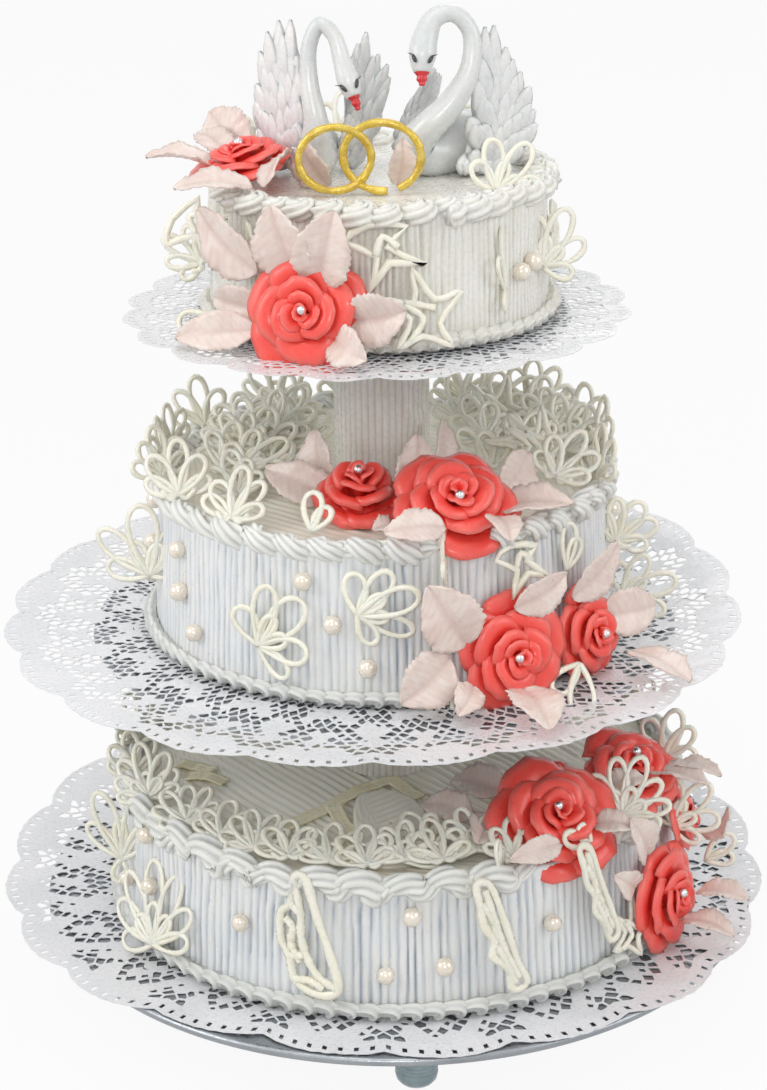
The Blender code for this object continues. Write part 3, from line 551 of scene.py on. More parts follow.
def scroll_border(name, tier, pitch_mm, radius_mm, seed, kind):
    """The piped border round a tier's top: rolled scrolls, a folded wave, or star swirls."""
    T = TIERS[tier]
    R = T["r1"] - 0.0030
    count = int(TAU * R / (pitch_mm * MM))
    rng = np.random.RandomState(seed)
    soup = Soup()
    zt = T["z1"]
    step = TAU / count
    for i in range(count):
        a0 = i * step + rng.uniform(-0.1, 0.1) * step
        big = rng.uniform(0.88, 1.12)
        if kind == "scroll":
            t = np.linspace(0, 1, 22)
            # a curl at the start that opens into a tail lying along the rim and tucks under the next one
            curl = TAU * 1.2 * (1 - t) ** 1.4 + 2.4
            cr = 0.0050 * big * rng.uniform(0.75, 1.2) * (1 - t) ** 0.8
            curl = curl + rng.uniform(-0.8, 0.8)
            x = (0.10 + rng.uniform(1.1, 1.4) * t ** 1.15) * pitch_mm * MM + cr * np.cos(curl)
            y = 0.0012 + 0.0015 * np.sin(t * math.pi * 1.2) + 0.0010 * waves(t * 5, seed + 50 + i)
            z = 0.0012 + cr * np.sin(curl) * 0.9 - 0.0010 * np.sin(t * math.pi) + 0.0008 * (1 - t)
            z = z + rng.uniform(-0.0014, 0.0018)
            z = z + 0.0009 * waves(t * 6, seed + i)
            swell = 0.62 + 0.62 * np.sin(np.clip(t * 0.85 + 0.08, 0, 1) * math.pi)
            rad = radius_mm * MM * big * swell * (1 - 0.45 * t ** 4)
            twist = 4.6
        elif kind == "wave":
            t = np.linspace(0, 1, 19)
            x = (t * 1.45 - 0.2) * pitch_mm * MM
            y = 0.0010 + 0.0034 * np.sin(t * TAU + 0.6) * big
            z = 0.0020 + 0.0034 * np.cos(t * TAU * 0.9 + 0.2) * big + rng.uniform(-0.0012, 0.0012)
            z = z + 0.0008 * waves(t * 6, seed + i)
            rad = radius_mm * MM * big * (0.55 + 0.60 * np.sin(np.clip(t * 0.9 + 0.05, 0, 1) * math.pi))
            twist = -2.8
        else:
            t = np.linspace(0, 1, 20)
            curl = TAU * 1.35 * t + rng.uniform(0, TAU)
            cr = 0.0062 * big * (1 - t) ** 0.8
            x = cr * np.sin(curl) + t * 0.003
            y = cr * np.cos(curl) + rng.uniform(-0.0008, 0.0008)
            z = 0.0004 + 0.0054 * t ** 1.1 * big
            rad = radius_mm * MM * big * (1.05 - 0.55 * t ** 2)
            twist = 3.0
        a = a0 + x / R
        r = R + y
        if under_a_rose(tier, math.degrees(a[len(a) // 2]), R / MM, zt / MM + 4):
            continue
        path = np.stack([T["x"] + r * np.cos(a), r * np.sin(a), zt + z], -1)
        # painted shade in the grooves between the nozzle ridges
        soup.add(*sweep(path, rad, sides=24, ridges=6, depth=0.20, twist=twist), tint=painted_groove_shade(len(path), 24, 6))
    return soup.build(name, M["cream_pearl"] if tier == "t" else M["cream_rope"], "icing")


cake_side("cake_bottom_side", "b", 206, 2.5, 11, 20, ["cake_bottom"])
cake_top("cake_bottom_top", "b", 38, 6.0, 1.6, 21)
scroll_border("cake_bottom_border", "b", 23.0, 5.8, 31, "scroll")
rope_foot("cake_bottom_foot", "b", 12.0, 3.2, 2.6, 41)
cake_side("cake_middle_side", "m", 186, 2.1, 12, 18, ["cake_middle"])
cake_top("cake_middle_top", "m", 52, 6.0, 1.2, 22)
scroll_border("cake_middle_border", "m", 19.0, 5.2, 32, "wave")
rope_foot("cake_middle_foot", "m", 10.5, 2.7, 2.2, 42)
cake_side("cake_top_side", "t", 160, 1.7, 13, 16, ["cake_top"])
cake_top("cake_top_top", "t", 20, 9.0, 0.35, 23)
scroll_border("cake_top_border", "t", 15.5, 4.9, 33, "star")
rope_foot("cake_top_foot", "t", 9.0, 3.4, 0, 43, kind="shell")


# ------------------------------------------------------------------ stand
def plate(name, node, radius, top, cx, cy):
    t = top
    pr = [(0.0, t), (radius - 0.012, t), (radius - 0.009, t - 0.0004), (radius - 0.004, t - 0.0002),
          (radius - 0.0022, t), (radius - 0.0008, t - 0.0010), (radius, t - 0.0026), (radius - 0.0010, t - 0.0046),
          (radius - 0.008, t - 0.0058),
          (radius - 0.010, t - 0.0060), (0.0, t - 0.0060)]
    soup = Soup()
    soup.add(*lathe(pr[::-1], 180, cx, cy))
    return soup.build(name, M["steel"], "steel", [node])


def centre_of(node):
    lo, hi = BOX[node]
    return (lo + hi) / 2 - Vector(SHIFT)


for label in ("base", "middle", "top"):
    lo, hi = BOX["plate_" + label]
    c = centre_of("plate_" + label)
    plate("stand_plate_" + label, "plate_" + label, (hi.x - lo.x) / 2, hi.z, c.x, c.y)

for i in (1, 2, 3):
    node = "foot_%d" % i
    c = centre_of(node)
    R = 0.0122
    pr = [(0.0, 0.0), (R * 0.55, 0.0), (R * 0.80, 0.0012), (R * 0.95, 0.0036), (R, 0.0066)]
    z = 0.0080
    while z < 0.0300:
        pr += [(R - 0.0001, z), (R - 0.0013, z + 0.0009), (R - 0.0001, z + 0.0018)]
        z += 0.0024
    pr += [(R, z + 0.001), (R, top_of(node)), (0.0, top_of(node))]
    soup = Soup()
    soup.add(*lathe(pr, 48, c.x, c.y))
    soup.build("stand_foot_%d" % i, M["chrome"], "steel", [node])


def column(name, node, seed):
    lo, hi = BOX[node]
    ribs, per, rows = 44, 6, 26
    a = np.linspace(0, TAU, ribs * per, endpoint=False)
    z = np.linspace(0, 1, rows)
    A, Z = np.meshgrid(a, z)
    ph = A * ribs + waves(A * 3, seed, y=Z * 3) * 0.6
    prof = np.abs(np.sin(ph / 2)) ** 0.8
    r = 0.0272 + 0.0008 * (prof - 0.7) + 0.0003 * waves(A * 4, seed + 2, y=Z * 7)
    # one smeared stroke that curls round near the top
    d = np.hypot((np.angle(np.exp(1j * (A - math.radians(318)))) * 27), (Z - 0.55) * 60)
    r = r + 0.0014 * np.exp(-((d - 9) / 2.2) ** 2) + 0.0009 * np.exp(-(d / 3.0) ** 2)
    V = np.stack([UPPER_X + r * np.cos(A), r * np.sin(A), lo.z + (hi.z - lo.z) * Z], -1)
    soup = Soup()
    # painted shade in the grooves between the column's ribs
    shade_in_grooves = np.clip(1 - prof * 1.5, 0, 1).reshape(-1)
    soup.add(V.reshape(-1, 3), grid_faces(rows, ribs * per, wrap_cols=True), tint=shade_in_grooves)
    k = np.arange(ribs * per)
    for row, z0, flip in ((V[0], lo.z, 1), (V[-1], hi.z, 0)):
        tri = np.stack([np.full(len(k), len(k)), k, (k + 1) % len(k)], -1)
        soup.add(np.concatenate([row, [[UPPER_X, 0, z0]]]), tris=tri[:, ::-1] if flip else tri)
    return soup.build(name, M["cream_pearl"], "icing", [node])


column("column_upper_iced", "column_upper", 51)
column("column_lower_iced", "column_lower", 52)


# ------------------------------------------------------------------ paper lace
def lift_of(tier, A):
    if tier == "m":
        return 0.004 + 0.014 * np.maximum(0.0, np.cos(A - math.radians(50))) ** 2
    if tier == "b":
        return 0.012 * np.maximum(0.0, np.sin(A))
    return 0.001 + 0 * A


def doily(name, node, tier, radius, plate_r, inner, cells, rows, seed, centre):
    """Stamped paper: posies of holes with broad plain paper between them, an embossed net, slits along the scallops."""
    cx, cy = centre
    plate_node = {"b": "plate_base", "m": "plate_middle", "t": "plate_top"}[tier]
    z0 = top_of(plate_node) + 0.0004
    lobes = 20
    N = cells * lobes
    half = 2 * N
    rng = np.random.RandomState(seed)
    # the jitter repeats in every lobe, as a stamped pattern does
    jr = rng.uniform(-0.30, 0.30, (rows + 1, cells * 2))
    ja = rng.uniform(-0.32, 0.32, (rows + 1, cells * 2))

    def edge(A):
        e = radius - 0.008 * (1 - np.abs(np.sin(lobes * A / 2)) ** 0.7) - 0.0009 * np.abs(np.sin(lobes * A * 4.5))
        if tier == "b":
            # drawn back at the front left, where the plate's rim shows, and pushed out at the front right
            turn = np.degrees(np.mod(A, TAU))
            e = e - 0.012 * np.exp(-(((turn - 247) / 19) ** 2)) + 0.008 * np.exp(-(((turn - 320) / 20) ** 2))
        return e

    band = 0.0125
    ring = np.zeros((rows + 1, half, 2))
    j = np.arange(half)
    for i in range(rows + 1):
        inside = 0 < i < rows
        a = (j + (ja[i][j % (cells * 2)] if inside else 0)) / half * TAU
        up = 0.30 * ((-1.0) ** (j + i)) * (1 if inside else 0)
        t = (i + up + (jr[i][j % (cells * 2)] if inside else 0)) / rows
        ring[i, :, 0] = inner + (edge(a) - band - inner) * t
        ring[i, :, 1] = a

    soup = Soup()
    th = 0.00045

    def place(r, a, layer):
        tt = (r - (plate_r - 0.012)) / (radius - plate_r + 0.012)
        lift = lift_of(tier, a) * smooth01(tt)
        ripple = 0.0012 * waves(a * 9, seed + 5, y=r * 60) * smooth01(tt * 1.3)
        net = 0.00025 * np.maximum(np.sin(a * lobes * 7), 0) * np.maximum(np.sin(r * 1500), 0)
        z = z0 + 0.0002 + lift + np.abs(ripple) * 0.8 + net + layer * th
        return np.stack([cx + r * np.cos(a), cy + r * np.sin(a), z], -1)

    def cell(loop, keep):
        """One cell: its outline, and a hole of the same shape drawn in by keep (None leaves it whole)."""
        loop = np.asarray(loop)
        n = len(loop)
        r, a = loop[:, 0], loop[:, 1]
        c = loop.mean(0)
        k = np.arange(n)
        k2 = (k + 1) % n
        if keep is None:
            top = place(np.append(r, c[0]), np.append(a, c[1]), 1)
            low = place(np.append(r, c[0]), np.append(a, c[1]), 0)
            tri = np.stack([k, k2, np.full(n, n)], -1)
            soup.add(top, tris=tri)
            soup.add(low, tris=tri[:, ::-1])
            return
        kr, ka = keep
        hr = c[0] + (r - c[0]) * kr
        ha = c[1] + (a - c[1]) * ka
        top = place(np.concatenate([r, hr]), np.concatenate([a, ha]), 1)
        low = place(np.concatenate([r, hr]), np.concatenate([a, ha]), 0)
        q = np.stack([k, k2, k2 + n, k + n], -1)
        v = np.concatenate([top, low])
        wall = np.stack([k + n, k2 + n, k2 + 3 * n, k + 3 * n], -1)
        soup.add(v, quads=np.concatenate([q, q[:, ::-1] + 2 * n, wall]))

    arc = TAU * 0.86 * radius / lobes
    deep = radius - band - inner
    posies = [(0.5, 0.62, 0.0225), (0.0, 0.26, 0.0165), (0.0, 0.90, 0.0115), (0.5, 0.12, 0.0085)]
    for i in range(rows):
        for jj in range(N):
            o = 2 * jj + (i % 2)
            w = [(o + d) % half for d in (0, 1, 2)]
            more = [TAU if (o + d) >= half else 0.0 for d in (0, 1, 2)]
            lowp = [ring[i, w[d]] + (0, more[d]) for d in (0, 1, 2)]
            highp = [ring[i + 1, w[d]] + (0, more[d]) for d in (2, 1, 0)]
            fa = ((o + 1) / 2.0 / cells) % 1.0
            fr = (i + 0.5) / rows
            keep = None
            for pa, pr, size in posies:
                da = abs(fa - pa)
                d = math.hypot(min(da, 1 - da) * arc, (fr - pr) * deep) / size
                if 0.24 < d < 1.0 and not 0.50 < d < 0.60:
                    keep = (0.80, 0.84) if d < 0.62 else (0.76, 0.76)
                    if (3 * i + 5 * (jj % cells)) % 7 == 0:
                        keep = (0.50, 0.55)
            if i == 0 or (keep is None and (i + 2 * (jj % cells)) % 6 == 0):
                keep = (0.42, 0.46)
            cell(np.array(lowp + highp), keep)
    # the rim: a plain band, short slits across it, and the stamped edge
    steps = np.array([0.0, 0.26, 0.42, 0.80, 1.0])
    cols = lobes * 16
    a = np.arange(cols) / cols * TAU
    for k in range(cols):
        a0, a1 = a[k], a[k] + TAU / cols
        e0 = edge(np.array([a0, a1]))
        r0 = e0 - band
        for st in range(4):
            f0, f1 = steps[st], steps[st + 1]
            loop = [(r0[0] + band * f0, a0), (r0[1] + band * f0, a1), (r0[1] + band * f1, a1), (r0[0] + band * f1, a0)]
            cell(np.array(loop), (0.88, 0.60) if st == 2 and k % 2 == 0 else None)
    # the plain middle under the cake, and the closing edges
    aa = ring[0, :, 1]
    n = half
    v = np.concatenate([place(ring[0, :, 0], aa, 1), [[cx, cy, z0 + 0.0002 + th]],
                        place(ring[0, :, 0], aa, 0), [[cx, cy, z0 + 0.0002]]])
    k = np.arange(n)
    t1 = np.stack([np.full(n, n), k, (k + 1) % n], -1)
    t2 = np.stack([np.full(n, 2 * n + 1), (k + 1) % n + n + 1, k + n + 1], -1)
    soup.add(v, tris=np.concatenate([t1, t2]))
    v = np.concatenate([place(edge(a), a, 1), place(edge(a), a, 0)])
    k = np.arange(cols)
    k2 = (k + 1) % cols
    soup.add(v, quads=np.stack([k, k + cols, k2 + cols, k2], -1))
    return soup.build(name, M["paper"], "paper", [node], shade=False)


doily("doily_base_paper", "doily_base", "b", 0.234, 0.2155, 0.136, 8, 14, 61, (-0.010, 0.024))
doily("doily_middle_paper", "doily_middle", "m", 0.216, 0.171, 0.120, 8, 14, 62, (UPPER_X - 0.007, 0.0))
doily("doily_top_paper", "doily_top", "t", 0.1435, 0.108, 0.086, 6, 8, 63, (UPPER_X - 0.002, 0.0))


# ------------------------------------------------------------------ roses


def ball(soup, centre, radius, rings=10, tint=0.0):
    t = np.linspace(0, math.pi, rings)
    a = np.linspace(0, TAU, rings * 2, endpoint=False)
    Tt, A = np.meshgrid(t, a, indexing="ij")
    V = np.stack([radius * np.sin(Tt) * np.cos(A), radius * np.sin(Tt) * np.sin(A), -radius * np.cos(Tt)], -1)
    soup.add(V.reshape(-1, 3) + np.array(centre), grid_faces(rings, rings * 2, wrap_cols=True), tint=tint)


SILVER = Soup()


def rose(name, spec, seed):
    tier, az, dist, height, R_mm, H_mm, faz, fel = spec
    R, H = R_mm * MM, H_mm * MM
    rng = np.random.RandomState(seed)
    soup = Soup()
    turn = turn_to(facing(faz, fel), rng.uniform(0, 360))
    place = np.array(at(tier, az, dist, height))

    def put(grid, thick, tint):
        v, q = sheet(grid, thick)
        t = np.concatenate([tint.reshape(-1), tint.reshape(-1) * 0.6])
        soup.add(v @ turn.T + place, q, tint=t)

    # rings of petals: number, inner and outer radius, foot and lip height, opening
    rings = [
        (2, 0.02, 0.15, 0.30, 1.04, 2.2, 0.0),
        (3, 0.06, 0.34, 0.20, 1.00, 1.15, 0.20),
        (3, 0.10, 0.56, 0.10, 0.93, 1.25, 0.40),
        (4, 0.18, 0.82, 0.02, 0.74, 1.00, 0.60),
        (5, 0.26, 1.06, 0.00, 0.44, 0.86, 0.80),
    ]
    for level, (count, r_in, r_out, z0, z1, spread, open_) in enumerate(rings):
        start = rng.uniform(0, TAU)
        for k in range(count):
            phi = start + k * TAU / count + rng.uniform(-0.12, 0.12)
            size = rng.uniform(0.92, 1.08)
            u = np.linspace(-1, 1, 15)
            v = np.linspace(0, 1, 10)
            U, V = np.meshgrid(u, v)
            half = spread * (0.50 + 0.50 * np.sin(np.clip(V * 1.1, 0, 1) * math.pi / 2))
            A = phi + U * half
            lip = (1 - 0.26 * np.abs(U) ** 2.2 + 0.035 * waves(U * 7, seed * 3 + level * 5 + k)) * size
            rho = R * (r_in + (r_out * lip - r_in) * V ** (1.0 + 0.5 * (1 - open_)))
            rho = rho + R * 0.12 * U * V * (0.3 + open_)
            crown = np.sin(np.clip(V, 0, 1) * math.pi / 2) ** 0.85
            z = H * (z0 + (z1 - z0) * crown * (1 - 0.28 * U ** 2 * V))
            roll = np.clip((V - 0.72) / 0.28, 0, 1)
            rho = rho + R * 0.055 * roll * open_
            z = z - H * 0.16 * roll ** 2 * open_
            ripple = waves(U * 3.0, seed * 7 + level * 11 + k, y=V * 2)
            z = z + H * 0.035 * ripple * V
            rho = rho + R * 0.018 * waves(U * 5.0, seed * 5 + level * 3 + k) * V
            grid = np.stack([rho * np.cos(A), rho * np.sin(A), z], -1)
            tint = np.clip((V - 0.74) / 0.26, 0, 1) ** 1.5 * rng.uniform(0.6, 1.0) * (0.75 + 0.25 * ripple)
            put(grid, 0.0013 * (1 - 0.35 * roll) + 0 * z, tint)
    # the closed back
    v, q = lathe([(0, 0.0), (0.5 * R, 0.0), (0.62 * R, 0.16 * H), (0.5 * R, 0.34 * H), (0, 0.36 * H)], 24)
    soup.add(v @ turn.T + place, q)
    obj = soup.build(name + "_petals", M["rose"], "rose_icing", [name])
    core = turn @ np.array([R * rng.uniform(-0.08, 0.22), R * rng.uniform(-0.05, 0.20), H * 1.0])
    ball(SILVER, core + place, 0.0027)
    return obj


for n, (name, spec) in enumerate(ROSES.items()):
    rose(name, spec, 100 + n)
SILVER.build("silver_balls", M["silver"], "steel")


# ------------------------------------------------------------------ leaves
LEAVES = {
    "leaf_top_1": ("t", (190, 90, 492), (188, 128, 497), 22, 0.2),
    "leaf_top_2": ("t", (160, 80, 490), (152, 107, 509), 24, 0.5),
    "leaf_top_3": ("t", (222, 90, 491), (211, 126, 490), 20, 0.3),
    "leaf_top_4": ("t", (246, 103, 450), (239, 108, 489), 27, 1.0),
    "leaf_top_5": ("t", (252, 105, 446), (258, 109, 489), 26, 1.0),
    "leaf_top_6": ("t", (261, 107, 430), (277, 111, 436), 24, 1.0),
    "leaf_top_7": ("t", (257, 112, 421), (267, 128, 414), 18, 0.8),
    "leaf_top_8": ("t", (232, 105, 450), (209, 109, 478), 26, 1.0),
    "leaf_mid_1": ("m", (246, 66, 314), (213, 78, 326), 20, 0.5),
    "leaf_mid_2": ("m", (236, 56, 316), (222, 48, 346), 22, 0.9),
    "leaf_mid_3": ("m", (280, 84, 314), (288, 62, 351), 20, 0.9),
    "leaf_mid_4": ("m", (303, 112, 320), (314, 147, 325), 22, 0.3),
    "leaf_mid_5": ("m", (288, 143, 258), (279, 145, 296), 28, 1.0),
    "leaf_mid_6": ("m", (284, 144, 252), (273, 152, 232), 26, 0.9),
    "leaf_mid_7": ("m", (316, 143, 270), (331, 147, 291), 22, 1.0),
    "leaf_mid_8": ("m", (325, 146, 252), (338, 164, 249), 22, 0.8),
    "leaf_mid_9": ("m", (325, 166, 236), (321, 211, 232), 22, 0.3),
    "leaf_mid_10": ("m", (297, 162, 236), (294, 208, 232), 24, 0.3),
    "leaf_base_1": ("b", (307, 98, 141), (295, 72, 141), 24, 0.3),
    "leaf_base_2": ("b", (292, 108, 137), (279, 86, 137), 20, 0.3),
    "leaf_base_3": ("b", (338, 156, 143), (335, 193, 145), 24, 0.3),
    "leaf_base_4": ("b", (330, 188, 66), (330, 220, 62), 18, 0.4),
}
MORE_LEAVES = {
    "small_leaf_1": ("t", (170, 84, 492), (158, 110, 498), 16, 0.3),
    "small_leaf_2": ("t", (224, 84, 491), (206, 52, 500), 14, 0.6),
    "small_leaf_3": ("t", (234, 112, 421), (216, 134, 414), 18, 0.7),
    "small_leaf_4": ("t", (236, 106, 432), (215, 108, 432), 18, 1.0),
    "small_leaf_5": ("m", (298, 64, 316), (330, 38, 346), 18, 0.9),
    "small_leaf_6": ("m", (298, 128, 323), (296, 152, 316), 16, 0.5),
    "small_leaf_7": ("m", (314, 94, 316), (336, 88, 332), 20, 0.6),
    "small_leaf_8": ("m", (284, 134, 324), (270, 141, 324), 16, 0.5),
    "small_leaf_9": ("m", (274, 112, 314), (267, 122, 318), 12, 0.3),
    "small_leaf_10": ("m", (299, 144, 275), (312, 146, 288), 18, 1.0),
    "small_leaf_11": ("m", (288, 152, 238), (283, 166, 228), 14, 0.6),
    "small_leaf_12": ("b", (298, 114, 136), (287, 144, 138), 18, 0.3),
    "small_leaf_13": ("b", (326, 140, 141), (332, 160, 147), 14, 0.4),
    "small_leaf_14": ("b", (312, 160, 141), (317, 178, 139), 14, 0.4),
    "small_leaf_15": ("b", (302, 166, 141), (290, 170, 141), 12, 0.6),
    "small_leaf_16": ("b", (342, 166, 143), (340, 198, 143), 16, 0.3),
    "small_leaf_17": ("b", (324, 174, 112), (316, 176, 146), 18, 1.0),
    "small_leaf_18": ("b", (320, 174, 96), (312, 176, 116), 14, 1.0),
    "small_leaf_19": ("b", (335, 190, 76), (335, 222, 76), 18, 0.5),
    "small_leaf_20": ("b", (348, 184, 92), (348, 198, 112), 20, 0.9),
    "small_leaf_21": ("t", (228, 40, 484), (208, 46, 508), 22, 0.9),
    "small_leaf_22": ("t", (288, 33, 484), (292, 33, 510), 13, 1.0),
}


def leaf(name, spec, seed, replaces=()):
    tier, base, tip, width, outward = spec
    rng = np.random.RandomState(seed)
    start, end = at(tier, *base), at(tier, *tip)
    along = end - start
    length = along.length
    along.normalize()
    am = math.radians(0.5 * (base[0] + tip[0]))
    normal = Vector((math.cos(am), math.sin(am), 0)) * outward + Vector((0, 0, 1)) * (1 - outward)
    side = along.cross(normal).normalized()
    normal = side.cross(along).normalized()
    S, Aa, Nn, P = (np.array(x) for x in (side, along, normal, start))
    v = np.linspace(0, 1, 26)
    u = np.linspace(-1, 1, 9)
    U, V = np.meshgrid(u, v)
    w = width * 0.61 * MM * (np.sin(math.pi * np.clip(V, 0.004, 0.996) ** 0.80)) ** 0.66
    saw = (V * 11) % 1.0
    w = w * (1 + 0.16 * (0.5 - saw) * np.abs(U) ** 3)
    fold = 0.26 + 0.06 * rng.uniform(-1, 1)
    lift = fold * np.abs(U) * w
    arch = 0.0035 * np.sin(math.pi * V) + 0.002 * V
    vein = -0.00030 * np.abs(np.cos(math.pi * (V * 9 - np.abs(U) * 2.2))) ** 6 - 0.0005 * np.exp(-(U / 0.07) ** 2)
    ruff = 0.0013 * np.abs(U) ** 2 * waves(V * 14 + U, seed + 3)
    h = lift + arch + vein + ruff
    G = P + Aa * (length * V)[..., None] + S * (U * w)[..., None] + Nn * h[..., None]
    # painted shade: darker colour in the sunken midrib and vein creases
    tint = np.clip(-vein / 0.0005, 0, 1) * 0.5
    vv, q = sheet(G, 0.0009)
    soup = Soup()
    soup.add(vv, q, tint=np.concatenate([tint.reshape(-1)] * 2))
    return soup.build(name, M["leaf"], "leaf_sugar", replaces)


for n, (name, spec) in enumerate(LEAVES.items()):
    leaf(name + "_veined", spec, 200 + n, [name])
for n, (name, spec) in enumerate(MORE_LEAVES.items()):
    leaf(name, spec, 300 + n)


# ------------------------------------------------------------------ lace of piped chocolate
def loop_path(angle, length, width, n=22):
    s = np.linspace(0, TAU, n, endpoint=False)
    rho = length * (1 - np.cos(s)) / 2
    lat = width / 2 * np.sin(s) * np.sqrt(np.maximum(rho / length, 0)) * 1.35
    a = math.radians(angle)
    return np.stack([rho * math.sin(a) + lat * math.cos(a), rho * math.cos(a) - lat * math.sin(a), 0 * s], -1)


def lace_paths(kind, rng):
    """Closed or open lines in millimetres, from a base point at the origin, growing along +Y."""
    out = []

    def petals(spec, jitter):
        for a, l, w in spec:
            path = loop_path(a + rng.uniform(-jitter, jitter), l * rng.uniform(0.92, 1.08), w * rng.uniform(0.9, 1.1))
            out.append((path, True))

    def outline(points, per_span):
        rough = [(x + rng.uniform(-1, 1), y + rng.uniform(-1, 1), 0) for x, y in points]
        out.append((spline(rough, per_span, closed=True), True))

    def strand(*points):
        out.append((spline([(x, y, 0) for x, y in points], 4), False))

    if kind == "fan":
        petals(((-62, 19, 8.5), (-32, 25, 9.5), (0, 30, 10.5), (32, 25, 9.5), (62, 19, 8.5)), 5)
        out.append((np.array([(-9, 3, 0), (-4, -2, 0), (0, 1, 0), (4, -2, 0), (9, 3, 0)], float), False))
    elif kind == "fan7":
        petals(((-84, 20, 8), (-56, 26, 9), (-28, 31, 9.5), (0, 34, 10), (28, 31, 9.5), (56, 26, 9), (84, 20, 8)), 4)
        for a, l in ((-42, 14), (0, 16), (42, 14)):
            out.append((loop_path(a, l, 6.5), True))
    elif kind == "wing":
        petals(((-66, 26, 13), (-28, 38, 15), (12, 44, 16), (50, 36, 14), (88, 24, 11)), 5)
        out.append((loop_path(-8, 22, 8), True))
        out.append((loop_path(34, 20, 8), True))
    elif kind == "tall":
        for a, l, w in ((-38, 30, 11), (-8, 46, 13), (24, 52, 13), (54, 34, 12)):
            out.append((loop_path(a + rng.uniform(-4, 4), l, w), True))
        out.append((loop_path(8, 26, 7), True))
        out.append((loop_path(-160, 16, 9), True))
    elif kind == "butterfly":
        pts = [(0, 0), (-5, 14), (-12, 33), (-18, 52), (-24, 51), (-25, 38), (-31, 33), (-31, 20), (-25, 12), (-23, 0),
               (-12, -5)]
        outline(pts, 4)
        strand((-24, 50), (-20, 36), (-19, 20), (-12, 6), (-2, 0))
        strand((-25, 38), (-20, 34))
        strand((-28, 30), (-24, 26), (-25, 18), (-20, 10))
        strand((-23, 1), (-15, 2), (-8, -1))
        strand((-25, 12), (-18, 14))
    elif kind == "shard":
        pts = [(0, 0), (-5, 14), (-11, 32), (-19, 56), (-26, 58), (-23, 45), (-23, 36), (-17, 27), (-18, 18), (-11, 10),
               (-8, -2)]
        outline(pts, 4)
        strand((-21, 54), (-16, 34), (-12, 20), (-5, 4))
        strand((-23, 47), (-18, 38), (-16, 28))
        strand((-17, 24), (-13, 16), (-8, 2))
    elif kind == "star":
        pts = [(-16, 2), (-2, 8), (-8, 24), (4, 12), (14, 26), (12, 8), (24, 2), (8, -2), (4, -14), (-3, -2)]
        outline(pts, 3)
        strand((-10, 0), (2, 4), (0, 16), (10, 4))
    elif kind == "zigzag":
        pts = [(-14, 12), (-2, 16), (14, 10), (4, 4), (16, -10), (2, -4), (-12, -12), (-3, 2)]
        outline(pts, 2)
        out.append((np.array([(-3, 2, 0), (3, 9, 0), (8, 2, 0)], float), False))
    else:
        out.append((loop_path(rng.uniform(-8, 8), 22, 10), True))
        out.append((loop_path(rng.uniform(30, 44), 16, 8), True))
    return out


